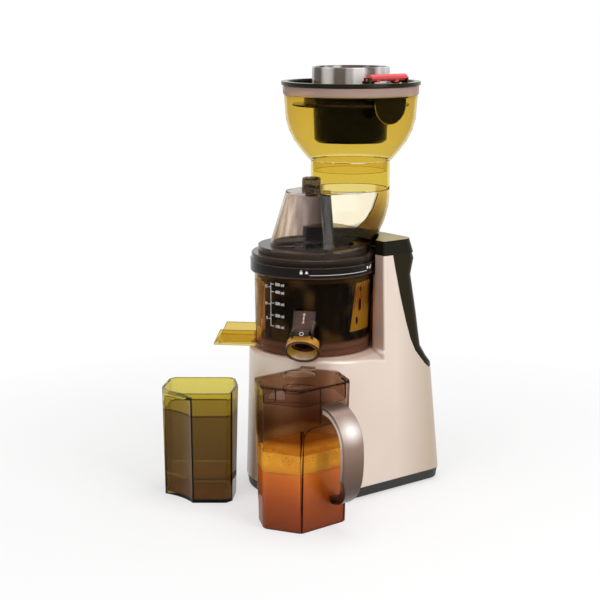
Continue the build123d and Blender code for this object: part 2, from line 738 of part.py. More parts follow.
def lid_form(inset):
    """Elbow of the lid, from the disc over the drum to the neck behind it, drawn in by a wall."""
    with BuildPart() as form:
        for z in LID_STEPS:
            up = (z - DISC_Z) / (LID_TOP - DISC_Z)
            lag = max(0.0, (LID_TOP - 8 - z) / (LID_TOP - 8 - DISC_Z))
            level = z - (inset if z == LID_TOP else 0)
            with BuildSketch(Plane.XY.offset(level)):
                add(capsule(51.0 - 19.0 * up - inset, HOPPER_Y - 25.0 * lag ** 2, NECK_R - inset))
        loft(ruled=True)
    return form.part


NECK_SEAT = LID_TOP - 1.2  # the neck stands this high, in a rebate of the lid

with BuildPart() as lid:
    add(spun([(0, 281.5), (DISC_R, 281.5), (DISC_R, DISC_Z), (0, DISC_Z)]))
    add(lid_form(0.0))
    add(spun([(0, 262.4), (69.2, 262.4), (69.2, 281.5), (0, 281.5)]))
    add(lid_form(LID_WALL), mode=Mode.SUBTRACT)
    add(rod(NECK_R - LID_WALL, LID_TOP - 6, LID_TOP + 5, (0, HOPPER_Y)), mode=Mode.SUBTRACT)
    add(rod(NECK_R + 0.05, NECK_SEAT, LID_TOP + 5, (0, HOPPER_Y)), mode=Mode.SUBTRACT)
    add(spun([(0, 262), (66.4, 262), (66.4, 279), (61.8, 281), (61.8, 290.4), (48.2, 290.4), (48.2, DISC_Z + 1),
              (0, DISC_Z + 1)]), mode=Mode.SUBTRACT)
    with BuildSketch(Plane.XY.offset(LID_TOP - 10)):
        with Locations((0, PLUG_Y)):
            Circle(7.1)
    extrude(amount=20, mode=Mode.SUBTRACT)

with BuildPart() as neck_tube:
    add(spun([(NECK_R - LID_WALL, NECK_SEAT), (NECK_R, NECK_SEAT), (NECK_R, NECK_TOP), (NECK_R - LID_WALL, NECK_TOP)],
             HOPPER_Y))

with BuildPart() as auger_bush:
    add(tube(10.0, 6.06, 281.5, 294.5))
    with BuildSketch(Plane.XY.offset(284)):
        with PolarLocations(29.5, 3):
            Rectangle(40, 5)
        Circle(9, mode=Mode.SUBTRACT)
    extrude(amount=6.4)

with BuildPart() as lid_seal:
    add(spun([(65.9, 257.0), (66.2, 257.4), (66.2, 262.3), (63.6, 262.3), (63.6, 259.0)]))

with BuildPart() as lock_ring:
    add(spun([(69.28, RING_Z0 - 1.2), (RING_R - 1.2, RING_Z0 - 1.2), (RING_R, RING_Z0), (RING_R, 277.5),
              (RING_R - 1.4, 278.2), (RING_R - 1.4, 284.0), (RING_R - 2.4, RING_Z1), (DISC_R + 0.3, RING_Z1),
              (DISC_R + 0.3, 281.9), (69.28, 281.9)]))
    with BuildSketch(Plane.XY.offset(RING_Z0 + 4)):
        with PolarLocations(RING_R - 0.2, 3, start_angle=150, angular_range=60):
            Rectangle(1.6, 3)
    extrude(amount=12)

with BuildPart() as lid_plug:
    add(spun([(0, LID_TOP + 0.1), (11.3, LID_TOP + 0.1), (10.9, 370), (9.9, 371.5), (8.4, 371.5), (8.0, 369),
              (0, 369)], PLUG_Y))
    add(rod(6.9, LID_TOP - 6, LID_TOP + 1, (0, PLUG_Y)))

# ---------------------------------------------------------------- hopper, feed cup and latch
BOWL_COLLAR = RIM_Z - 16.0  # the bowl's curve ends here, under a straight collar
# Outside of the bowl's curve, as (radius, share of the height from the neck to the collar).
BOWL_CURVE = [(50.5, 0.039), (58.0, 0.156), (67.0, 0.312), (73.0, 0.468), (76.5, 0.636), (78.0, 0.87), (78.9, 1.0)]
BOWL_OUT = [(NECK_R + 0.5, NECK_TOP + 0.3)]
BOWL_OUT += [(r, NECK_TOP + share * (BOWL_COLLAR - NECK_TOP)) for r, share in BOWL_CURVE]
BOWL_OUT += [(80.2, BOWL_COLLAR + 2)]

with BuildPart() as hopper_bowl:
    inner = [(r - 2.5, z + 0.8) for r, z in reversed(BOWL_OUT)]
    add(spun([(NECK_R - LID_WALL - 2.4, NECK_TOP - 12), (NECK_R - LID_WALL - 0.15, NECK_TOP - 12),
              (NECK_R - LID_WALL - 0.15, NECK_TOP + 0.3)] + BOWL_OUT + [(80.2, RIM_Z - 5.1), (77.7, RIM_Z - 5.1)]
             + inner + [(NECK_R - LID_WALL - 2.4, NECK_TOP)], HOPPER_Y))

with BuildPart() as hopper_ring:
    add(spun([(80.4, RIM_Z - 5), (RIM_R, RIM_Z - 4), (RIM_R, RIM_Z), (75.0, RIM_Z), (74.4, RIM_Z - 2),
              (74.4, RIM_Z - 8.2), (77.4, RIM_Z - 8.2), (77.4, RIM_Z - 5)], HOPPER_Y))

HINGE_Y = HOPPER_Y + 52.0
HINGE_Z = RIM_Z - 3.0
LATCH_Z = HINGE_Z + 7.0
FLANGE_Z = RIM_Z - 28.2  # flange on which the feed cup sits
FEED_FLOOR = RIM_Z - 71.0
FEED_TOP = RIM_Z + 16.8
BLOCK_HALF = 30.0  # half width of the block that carries the hinge and the latch
LATCH_HALF = 26.5
PLATE_R = 23.5  # half-round plate that hangs from the block

with BuildPart() as feed_cup_form:
    add(spun([(0, FEED_FLOOR), (40.0, FEED_FLOOR), (43.0, FEED_FLOOR + 3), (44.5, FLANGE_Z), (69.0, FLANGE_Z),
              (69.0, FLANGE_Z + 2), (56.0, FLANGE_Z + 2.8), (55.0, FLANGE_Z + 9.7), (46.5, FLANGE_Z + 10.5),
              (45.6, FEED_TOP - 1.3), (44.6, FEED_TOP), (42.2, FEED_TOP), (42.2, FLANGE_Z + 7.2),
              (40.4, FEED_FLOOR + 4.5), (38.5, FEED_FLOOR + 2.6), (0, FEED_FLOOR + 2.6)], HOPPER_Y))
    with Locations((0, HINGE_Y - 2.5, HINGE_Z - 11)):
        Box(30, 9, 21)
    with Locations((0, HINGE_Y, HINGE_Z)):
        Cylinder(4.2, 30, rotation=(0, 90, 0))
    with Locations((0, HINGE_Y, HINGE_Z)):
        Cylinder(2.06, 60, rotation=(0, 90, 0), mode=Mode.SUBTRACT)
    with BuildSketch(Plane.XY.offset(FEED_FLOOR + 5)):
        with Locations((0, HOPPER_Y)):
            Circle(40.4)
    extrude(amount=40, mode=Mode.SUBTRACT)

with BuildPart() as hinge_block_form:
    with Locations((0, HINGE_Y + 13.5, HINGE_Z - 6)):
        Box(2 * BLOCK_HALF, 17, 17.4)
    with Locations((-18.8, HINGE_Y + 2.0, HINGE_Z - 0.3), (18.8, HINGE_Y + 2.0, HINGE_Z - 0.3)):
        Box(6.4, 14, 11)
    with Locations((1.6 - BLOCK_HALF, HINGE_Y + 12, LATCH_Z - 2), (BLOCK_HALF - 1.6, HINGE_Y + 12, LATCH_Z - 2)):
        Box(3.2, 10, 9)
    with Locations((0, HINGE_Y, HINGE_Z)):
        Cylinder(2.0, 60, rotation=(0, 90, 0), mode=Mode.SUBTRACT)
    with Locations((0, HINGE_Y + 12, LATCH_Z)):
        Cylinder(1.7, 2 * BLOCK_HALF + 4, rotation=(0, 90, 0), mode=Mode.SUBTRACT)
    with BuildSketch(Plane.XY.offset(HINGE_Z - 40)):
        with Locations((0, HOPPER_Y)):
            Circle(73.9)
    extrude(amount=80, mode=Mode.INTERSECT)
    with BuildSketch(Plane.XZ.offset(-(HINGE_Y + 17.4))):
        with Locations((0, FLANGE_Z + 4.7)):
            Circle(PLATE_R)
        with Locations((0, FLANGE_Z + 34.7)):
            Rectangle(3 * PLATE_R, 60, mode=Mode.SUBTRACT)
        with Locations((0, FLANGE_Z + 9.2)):
            Rectangle(2 * PLATE_R, 9)
    extrude(amount=-1.4)

with BuildPart() as hinge_pin_form:
    with Locations((0, HINGE_Y, HINGE_Z)):
        Cylinder(1.98, 43, rotation=(0, 90, 0))

with BuildPart() as feed_latch_form:
    with BuildSketch(Plane.YZ.offset(-LATCH_HALF)):
        with BuildLine():
            Polyline((HINGE_Y + 6.6, LATCH_Z + 1.0), (HINGE_Y + 7.4, LATCH_Z + 5.2), (HINGE_Y + 14.0, LATCH_Z + 6.2),
                     (HINGE_Y + 17.6, LATCH_Z + 4.0), (HINGE_Y + 17.6, LATCH_Z + 1.0), close=True)
        make_face()
    extrude(amount=2 * LATCH_HALF)
    with Locations((-14, HINGE_Y + 12, LATCH_Z - 0.5), (14, HINGE_Y + 12, LATCH_Z - 0.5)):
        Box(5, 4, 5)
    with Locations((0, HINGE_Y + 12, LATCH_Z)):
        Cylinder(1.65, 2 * BLOCK_HALF, rotation=(0, 90, 0))

# These four are drawn with the hinge behind the hopper, and stand with it on the hopper's right.
TURN_HINGE = Location((0, HOPPER_Y, 0), (0, 0, -90)) * Location((0, -HOPPER_Y, 0))

with BuildPart() as feed_cup:
    add(feed_cup_form.part.moved(TURN_HINGE))

with BuildPart() as hinge_block:
    add(hinge_block_form.part.moved(TURN_HINGE))

with BuildPart() as hinge_pin:
    add(hinge_pin_form.part.moved(TURN_HINGE))

with BuildPart() as feed_latch:
    add(feed_latch_form.part.moved(TURN_HINGE))

# ---------------------------------------------------------------- juice jug
# Six-sided plan, as (x, y): the flat side towards +X carries the handle.
JUG_LOW = [(133.5, -119.5), (94.0, -142.5), (64.0, -128.0), (60.5, -62.0), (94.0, -40.0), (131.5, -56.0)]
JUG_HIGH = [(137.5, -122.5), (94.0, -146.0), (60.5, -130.5), (57.5, -61.0), (94.0, -38.0), (136.5, -53.5)]


def blend(low, high, part_way):
    """Point list part of the way from one outline to another."""
    return [(a + (c - a) * part_way, b + (d - b) * part_way) for (a, b), (c, d) in zip(low, high)]


def soft_polygon(points, radius, inset=0.0):
    """Polygon with rounded corners, drawn in by a wall thickness."""
    with BuildSketch() as outline:
        with BuildLine():
            Polyline(*points, close=True)
        make_face()
        if inset > 0:
            offset(amount=-inset, kind=Kind.INTERSECTION, mode=Mode.REPLACE)
        fillet(outline.vertices(), radius=radius)
    return outline.sketch


def jug_form(inset, z0, z1, radius):
    """Drafted solid of the jug between two heights."""
    with BuildPart() as form:
        for z in (z0, z1):
            with BuildSketch(Plane.XY.offset(z)):
                add(soft_polygon(blend(JUG_LOW, JUG_HIGH, z / JUG_H), radius, inset))
        loft(ruled=True)
    return form.part


# Sunk arch on the handle's side, as (y, z).
ARCH = [(-118.6, -2), (-118.6, JUG_H - 54), (-114.5, JUG_H - 46.5), (-107, JUG_H - 43), (-66, JUG_H - 41.5),
        (-60, JUG_H - 45), (-57.5, JUG_H - 53), (-57.5, -2)]

with BuildPart() as arch_recess:
    with BuildSketch(Plane.YZ.offset(JUG_LOW[1][0] + 12)):
        with BuildLine():
            Polyline(*ARCH, close=True)
        make_face()
    extrude(amount=60)
    add(jug_form(0.4 * JUG_WALL, -3.0, JUG_H + 1, 6.4), mode=Mode.SUBTRACT)

with BuildPart() as jug_body:
    add(jug_form(0.0, 0.0, JUG_H, 7.0))
    chamfer(faces().sort_by(Axis.Z)[0].edges(), 1.2)
    add(jug_form(JUG_WALL, 3.2, JUG_H + 2, 4.5), mode=Mode.SUBTRACT)
    add(arch_recess.part, mode=Mode.SUBTRACT)
    with BuildSketch(Plane.XY.offset(-1)):
        with Locations((134.4, -119.6)):
            Rectangle(3.2, 2.2, rotation=35)
    extrude(amount=JUG_H - 44, mode=Mode.SUBTRACT)

# Handle: side view of its outer face, as (x, z), from the upper root to the lower one.
GRIP = [(128.0, 142.5), (140.0, 141.5), (152.0, 138.5), (161.0, 132.5), (169.5, 123.0), (175.0, 110.0), (176.8, 95.0),
        (176.6, 77.0), (174.0, 60.0), (167.5, 45.5), (158.0, 35.5), (146.0, 29.0), (134.0, 26.5), (122.0, 26.0)]
GRIP_Y0 = -95.0
GRIP_W = 27.0


def grip_line(depth):
    """Points of the handle's side view, moved square to the outer line by a depth."""
    points = []
    for i, (x, z) in enumerate(GRIP):
        x0, z0 = GRIP[max(i - 1, 0)]
        x1, z1 = GRIP[min(i + 1, len(GRIP) - 1)]
        run = math.hypot(x1 - x0, z1 - z0)
        points.append((x + depth * (z1 - z0) / run, z - depth * (x1 - x0) / run))
    return points


def grip_band(outer_depth, inner_depth, side):
    """Strap between two depths under the handle's outer line; side trims both edges."""
    outer = grip_line(outer_depth)
    inner = grip_line(inner_depth)
    with BuildPart() as band:
        with BuildSketch(Plane.XZ.offset(-(GRIP_Y0 + side))):
            with BuildLine():
                Spline(*outer)
                Line(outer[-1], inner[-1])
                Spline(*reversed(inner))
                Line(inner[0], outer[0])
            make_face()
        extrude(amount=-(GRIP_W - 2 * side))
        with BuildSketch(Plane.YZ.offset(100)):
            with BuildLine():
                Polyline((-100, 66), (-95.5 + side, 66), (-76 + side, 22), (-100, 22), close=True)
            make_face()
        extrude(amount=100, mode=Mode.SUBTRACT)
        add(jug_form(0.0, -1.0, JUG_H, 7.0), mode=Mode.SUBTRACT)
    return band.part


with BuildPart() as handle_cap:
    add(grip_band(0.0, 3.4, 0.0))

with BuildPart() as handle_core:
    add(grip_band(3.4, 9.0, 1.6))

LID_OUTLINE = blend(JUG_LOW, JUG_HIGH, 0.98)

with BuildPart() as jug_lid:
    with BuildSketch(Plane.XY.offset(JUG_H + 0.3)):
        add(soft_polygon(JUG_HIGH, 7.0, 0.4))
    extrude(amount=2.0)
    with BuildSketch(Plane.XY.offset(JUG_H - 18)):
        add(soft_polygon(LID_OUTLINE, 4.5, JUG_WALL + 1.0))
        add(soft_polygon(LID_OUTLINE, 3.0, JUG_WALL + 2.8), mode=Mode.SUBTRACT)
    extrude(amount=18.3)
    with BuildSketch(Plane.XY.offset(JUG_H + 2.3)):
        with Locations((72, -64)):
            Rectangle(12, 16, rotation=-52)
    extrude(amount=3.2)
    with BuildSketch(Plane.XY.offset(JUG_H + 2.3)):
        with Locations((84, -84)):
            Circle(19)
    extrude(amount=1.6)
    with BuildSketch(Plane.XY.offset(JUG_H - 2)):
        with Locations((84, -84)):
            Circle(17)
    extrude(amount=12, mode=Mode.SUBTRACT)
    with BuildSketch(Plane(origin=(114, -134, JUG_H - 7), x_dir=(0.5, 0.86, 0), z_dir=(0.86, -0.5, 0))):
        Trapezoid(26, 11, 60)
    extrude(amount=-22, mode=Mode.SUBTRACT)

# ---------------------------------------------------------------- pulp cup
# Plan in the cup's own turned frame, as (along, deep): near side, right, far side, left.
CUP_LOW = [(-170.0, -62.0), (-150.0, -78.5), (-101.0, -78.5), (-94.5, -71.0), (-91.5, -40.0), (-94.0, -7.0), (-100.0, -1.0), (-166.0, 0.0),
           (-171.5, -6.5), (-175.5, -44.0)]
CUP_HIGH = [(-170.5, -60.5), (-150.0, -76.5), (-98.0, -76.5), (-93.5, -71.0), (-88.0, -38.0), (-93.0, -7.5), (-99.0, -1.5), (-165.0, -1.0),
            (-171.0, -6.5), (-176.8, -46.0)]
DENT_AT = (-204.5, -111.5)
DENT_R = 72.0


def turned(point):
    """Cup frame to working frame."""
    along, deep = point
    turn = math.radians(VIEW_TURN)
    return (along * math.cos(turn) - deep * math.sin(turn), along * math.sin(turn) + deep * math.cos(turn))


def cup_form(inset, z0, z1):
    """Drafted solid of the cup between two heights, with the round dent of its near left corner."""
    with BuildPart() as form:
        for z in (z0, z1):
            points = [turned(p) for p in blend(CUP_LOW, CUP_HIGH, max(z, 0) / CUP_H)]
            with BuildSketch(Plane.XY.offset(z)):
                add(soft_polygon(points, 4.0 - inset / 2, inset))
        loft(ruled=True)
        with BuildSketch(Plane.XY.offset(z0 - 5)):
            with Locations(turned(DENT_AT)):
                Circle(DENT_R + inset)
        extrude(amount=123.5 + inset * 0.8 - z0 + 5, mode=Mode.SUBTRACT)
    return form.part


with BuildPart() as pulp_cup:
    add(cup_form(0.0, 0.0, CUP_H))
    add(cup_form(CUP_WALL, 3.0, CUP_H + 3), mode=Mode.SUBTRACT)

# ---------------------------------------------------------------- move once and write the files
PARTS = {
    "housing": housing, "back_panel": back_panel, "tower_cap": tower_cap, "base_skirt": base_skirt,
    "bottom_cover": bottom_cover, "rubber_feet": rubber_feet, "cover_screws": cover_screws,
    "motor_cradle": motor_cradle, "motor_stator": motor_stator, "motor_windings": motor_windings,
    "motor_rotor": motor_rotor, "gearbox_case": gearbox_case, "gearbox_posts": gearbox_posts,
    "idler_gear": idler_gear, "output_gear": output_gear, "drive_shaft": drive_shaft,
    "shaft_bearing": shaft_bearing, "control_board": control_board, "board_capacitor": board_capacitor,
    "switch_bezel": switch_bezel, "switch_rocker": switch_rocker, "rocker_pin": rocker_pin,
    "power_inlet": power_inlet, "inlet_pins": inlet_pins, "drum": drum, "drum_seal": drum_seal,
    "spout_rail": spout_rail, "spout_gate": spout_gate, "pulp_plug": pulp_plug,
    "planet_post": planet_post, "planet_gear": planet_gear, "brush_holder": brush_holder,
    "brush_blades": brush_blades, "strainer": strainer, "strainer_mesh": strainer_mesh, "auger": auger,
    "lid": lid, "neck_tube": neck_tube, "auger_bush": auger_bush, "lid_seal": lid_seal,
    "lock_ring": lock_ring, "lid_plug": lid_plug,
    "hopper_bowl": hopper_bowl, "hopper_ring": hopper_ring, "feed_cup": feed_cup, "hinge_block": hinge_block,
    "hinge_pin": hinge_pin, "feed_latch": feed_latch, "jug_body": jug_body, "handle_cap": handle_cap,
    "handle_core": handle_core, "jug_lid": jug_lid, "pulp_cup": pulp_cup,
}

boxes = [body.part.bounding_box() for body in PARTS.values()]
MID_X = (min(box.min.X for box in boxes) + max(box.max.X for box in boxes)) / 2
MID_Y = (min(box.min.Y for box in boxes) + max(box.max.Y for box in boxes)) / 2

os.makedirs("parts", exist_ok=True)
for name, body in PARTS.items():
    moved = body.part.moved(Location((-MID_X, -MID_Y, 0)))
    moved.label = name
    export_step(moved, f"parts/{name}.step")
    print(f"{name}: {len(body.part.solids())} solids, {body.part.volume / 1000:.1f} cm3")
print(f"working frame origin is at {-MID_X:.3f}, {-MID_Y:.3f}")
print("size", max(b.max.X for b in boxes) - min(b.min.X for b in boxes),
      max(b.max.Y for b in boxes) - min(b.min.Y for b in boxes), max(b.max.Z for b in boxes))
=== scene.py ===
"""Looks of a tower juicer with its juice jug and pulp cup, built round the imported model."""

import json
import logging
import math
from collections.abc import Callable
from dataclasses import dataclass
from enum import Enum

import bpy
from mathutils import Matrix, Vector


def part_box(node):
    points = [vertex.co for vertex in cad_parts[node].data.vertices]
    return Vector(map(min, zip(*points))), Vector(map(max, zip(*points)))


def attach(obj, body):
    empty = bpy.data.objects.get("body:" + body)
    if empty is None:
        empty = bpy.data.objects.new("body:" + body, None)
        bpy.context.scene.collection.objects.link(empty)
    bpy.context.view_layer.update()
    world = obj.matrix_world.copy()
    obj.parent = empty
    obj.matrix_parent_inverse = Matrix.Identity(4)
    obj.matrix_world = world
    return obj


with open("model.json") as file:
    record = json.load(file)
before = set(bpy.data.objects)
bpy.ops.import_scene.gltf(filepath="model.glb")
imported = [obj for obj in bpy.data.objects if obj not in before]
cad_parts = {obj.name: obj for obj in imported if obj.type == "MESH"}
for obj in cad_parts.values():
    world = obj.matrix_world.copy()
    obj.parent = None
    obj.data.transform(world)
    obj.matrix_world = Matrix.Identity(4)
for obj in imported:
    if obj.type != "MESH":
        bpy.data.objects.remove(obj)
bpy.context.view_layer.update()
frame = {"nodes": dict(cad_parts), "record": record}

MM = 0.001
LOG = logging.getLogger("juicer")
Colour = tuple[float, float, float]
Point = tuple[float, float, float]
Stops = tuple[tuple[float, Colour], ...]
Socket = bpy.types.NodeSocket
Material = bpy.types.Material
Piece = bpy.types.Object

_low, _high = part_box("drum_seal")
AXIS = Vector(((_low.x + _high.x) / 2, (_low.y + _high.y) / 2, 0.0))
HOPPER_BACK = 56.0  # the hopper's axis lies this far behind the drum's, in mm


def at(x: float, y: float, z: float) -> Vector:
    """Row-frame place of a point given in mm from the drum axis at table height."""
    return Vector((x * MM, y * MM, z * MM)) + AXIS


def tone(red: int, green: int, blue: int) -> Colour:
    """Linear colour of a display colour written as 0 to 255."""

    def linear(value: float) -> float:
        share = value / 255.0
        return share / 12.92 if share <= 0.04045 else ((share + 0.055) / 1.055) ** 2.4

    return (linear(red), linear(green), linear(blue))


def stops(*rows: tuple[float, int, int, int]) -> Stops:
    """Places in mm, each with its display colour."""
    return tuple((place, tone(red, green, blue)) for place, red, green, blue in rows)


# ---------------------------------------------------------------- finishes


class Wiring:
    """A node tree while it is being laid out."""

    def __init__(self, tree: bpy.types.NodeTree) -> None:
        """Takes over a tree."""
        self.tree = tree

    def node(self, kind: str, settings: dict | None = None, **sockets: object) -> bpy.types.Node:
        """Adds a node.

        Args:
            kind: The node's type name.
            settings: Properties of the node itself.
            sockets: Values or linked outputs for its inputs, named with _ for spaces.

        Returns:
            The new node.
        """
        made = self.tree.nodes.new(kind)
        for key, value in (settings or {}).items():
            setattr(made, key, value)
        for key, value in sockets.items():
            self.feed(made, key.replace("_", " "), value)
        return made

    def feed(self, made: bpy.types.Node, socket: str | int, value: object) -> None:
        """Links an output to a node's input, or sets the input's value."""
        target = made.inputs[int(socket[1:])] if isinstance(socket, str) and socket[0] == "#" else made.inputs[socket]
        if isinstance(value, Socket):
            self.tree.links.new(value, target)
        elif isinstance(value, tuple) and len(value) == 3 and target.type == "RGBA":
            target.default_value = (*value, 1.0)
        else:
            target.default_value = value

    def span(self, value: Socket, low: float, high: float, to_low: float, to_high: float) -> Socket:
        """A value carried from one range to another, held at its ends."""
        made = self.node("ShaderNodeMapRange", Value=value)
        for key, number in (("From Min", low), ("From Max", high), ("To Min", to_low), ("To Max", to_high)):
            made.inputs[key].default_value = number
        return made.outputs["Result"]

    def rise(self, value: Socket, begin: float, over: float) -> Socket:
        """From 0 to 1 over a stretch given in mm."""
        return self.span(value, begin * MM, (begin + over) * MM, 0.0, 1.0)

    def fall(self, value: Socket, begin: float, over: float) -> Socket:
        """From 1 to 0 over a stretch given in mm."""
        return self.span(value, begin * MM, (begin + over) * MM, 1.0, 0.0)

    def maths(self, what: str, first: object, second: object = 0.0) -> Socket:
        """One arithmetic step."""
        made = self.node("ShaderNodeMath", {"operation": what})
        self.feed(made, "#0", first)
        self.feed(made, "#1", second)
        return made.outputs[0]

    def times(self, first: object, second: object) -> Socket:
        """Two values multiplied."""
        return self.maths("MULTIPLY", first, second)

    def seen(self) -> Socket:
        """1 for a ray that looks, whether straight, through glass or by reflection, and 0 for one that lights."""
        rays = self.node("ShaderNodeLightPath").outputs
        other = self.maths("MAXIMUM", rays["Is Glossy Ray"], rays["Is Transmission Ray"])
        return self.maths("MAXIMUM", rays["Is Camera Ray"], other)


class NodeSheet(Wiring):
    """A node material while it is being laid out."""

    def __init__(self, name: str) -> None:
        """Starts a material with one Principled shader and Object coordinates."""
        self.material = bpy.data.materials.new(name)
        self.material.use_nodes = True
        super().__init__(self.material.node_tree)
        self.shader = self.tree.nodes["Principled BSDF"]
        self.output = self.tree.nodes["Material Output"]
        self.place = self.node("ShaderNodeTexCoord").outputs["Object"]

    def finish(self, **sockets: object) -> Material:
        """Feeds the Principled shader and returns the material."""
        for key, value in sockets.items():
            self.feed(self.shader, key.replace("_", " "), value)
        return self.material

    def stretched(self, stretch: Point) -> Socket:
        """Object coordinates scaled along each axis."""
        mapping = self.node("ShaderNodeMapping", Vector=self.place)
        mapping.inputs["Scale"].default_value = stretch
        return mapping.outputs["Vector"]

    def noise(self, scale: float, detail: float = 2.0, stretch: Point | None = None) -> Socket:
        """Fractal noise over the piece."""
        place = self.stretched(stretch) if stretch else self.place
        return self.node("ShaderNodeTexNoise", Vector=place, Scale=scale, Detail=detail).outputs["Fac"]

    def ramp(self, factor: Socket, *stops: tuple[float, Colour]) -> Socket:
        """Colour picked along a factor."""
        made = self.node("ShaderNodeValToRGB", Fac=factor)
        band = made.color_ramp
        band.elements[0].position, band.elements[0].color = stops[0][0], (*stops[0][1], 1.0)
        band.elements[1].position, band.elements[1].color = stops[-1][0], (*stops[-1][1], 1.0)
        for position, colour in stops[1:-1]:
            band.elements.new(position).color = (*colour, 1.0)
        return made.outputs["Color"]

    def mix(self, factor: object, first: object, second: object) -> Socket:
        """Two colours mixed."""
        made = self.node("ShaderNodeMix", {"data_type": "RGBA"})
        for key, value in (("#0", factor), ("#6", first), ("#7", second)):
            self.feed(made, key, value)
        return made.outputs[2]

    def cells(self, scale: float, randomness: float = 1.0) -> Socket:
        """Distance to the nearest of many scattered points."""
        made = self.node("ShaderNodeTexVoronoi", Vector=self.place, Scale=scale, Randomness=randomness)
        return made.outputs["Distance"]

    def height(self) -> Socket:
        """Height above the table, in metres."""
        return self.node("ShaderNodeSeparateXYZ", Vector=self.place).outputs["Z"]

    def from_axis(self, squash: Point) -> Socket:
        """Place seen from the drum axis, with each direction scaled."""
        moved = self.node("ShaderNodeMapping", Vector=self.place)
        moved.inputs["Scale"].default_value = squash
        moved.inputs["Location"].default_value = (-AXIS.x * squash[0], -AXIS.y * squash[1], 0.0)
        return moved.outputs["Vector"]

    def reach(self) -> Socket:
        """Distance from the drum axis, in metres."""
        return self.node("ShaderNodeVectorMath", {"operation": "LENGTH"},
                         Vector=self.from_axis((1.0, 1.0, 0.0))).outputs["Value"]

    def along(self, direction: Point) -> Socket:
        """Distance from the drum axis's foot along a direction, in metres."""
        made = self.node("ShaderNodeVectorMath", {"operation": "DOT_PRODUCT"}, Vector=self.from_axis((1.0, 1.0, 1.0)))
        made.inputs[1].default_value = direction
        return made.outputs["Value"]

    def bands(self, value: Socket, stops: Stops) -> Socket:
        """Colours laid out along a distance given in mm."""
        low, high = stops[0][0], stops[-1][0]
        share = self.span(value, low * MM, high * MM, 0.0, 1.0)
        return self.ramp(share, *[((place - low) / (high - low), colour) for place, colour in stops])

    def bump(self, relief: Socket, depth: float, under: Socket | None = None) -> Socket:
        """Normal of a fine relief, depth in metres."""
        made = self.node("ShaderNodeBump", Height=relief, Strength=1.0, Distance=depth)
        if under is not None:
            self.feed(made, "Normal", under)
        return made.outputs["Normal"]

    def soft_edge(self, radius: float) -> Socket:
        """Normal that rounds the piece's edges."""
        return self.node("ShaderNodeBevel", {"samples": 6}, Radius=radius).outputs["Normal"]

    def edge_share(self, radius: float, strength: float) -> Socket:
        """How near an edge a point lies, from 0 on a flat face to 1 on the edge."""
        rounded = self.soft_edge(radius)
        plain = self.node("ShaderNodeNewGeometry").outputs["Normal"]
        along = self.node("ShaderNodeVectorMath", {"operation": "DOT_PRODUCT"})
        self.feed(along, "#0", rounded)
        self.feed(along, "#1", plain)
        return self.span(along.outputs["Value"], 1.0, 1.0 - strength, 0.0, 1.0)


@dataclass(frozen=True)
class Finish:
    """One look; each kind lays out its own nodes."""

    name: str

    def lay(self, sheet: NodeSheet) -> Material:
        """Lays out the nodes on a fresh sheet."""
        raise NotImplementedError

    def build(self) -> Material:
        """Makes the material."""
        return self.lay(NodeSheet(self.name))


@dataclass(frozen=True)
class SatinPaint(Finish):
    """Pearl paint on sheet metal: fine flake, soft sheen and rounded edges."""

    base: Colour
    shade: Colour
    roughness: float = 0.36
    metallic: float = 0.35
    edge: float = 1.4 * MM

    def colour(self, sheet: NodeSheet, flake: Socket) -> Socket:
        """Colour of the paint with its flake and its slow change of shade."""
        cloud = sheet.noise(9.0, 2.0)
        colour = sheet.mix(sheet.span(cloud, 0.3, 0.7, 0.0, 0.35), self.base, self.shade)
        return sheet.mix(sheet.span(flake, 0.55, 0.8, 0.0, 0.25), colour, self.shade)

    def lay(self, sheet: NodeSheet) -> Material:
        """Lays out the nodes on a fresh sheet."""
        flake = sheet.noise(5200.0, 1.0)
        rough = sheet.span(flake, 0.2, 0.8, self.roughness - 0.05, self.roughness + 0.06)
        normal = sheet.bump(flake, 0.008 * MM, sheet.soft_edge(self.edge))
        return sheet.finish(Base_Color=self.colour(sheet, flake), Metallic=self.metallic, Roughness=rough,
                            Normal=normal, Coat_Weight=0.25, Coat_Roughness=0.18)


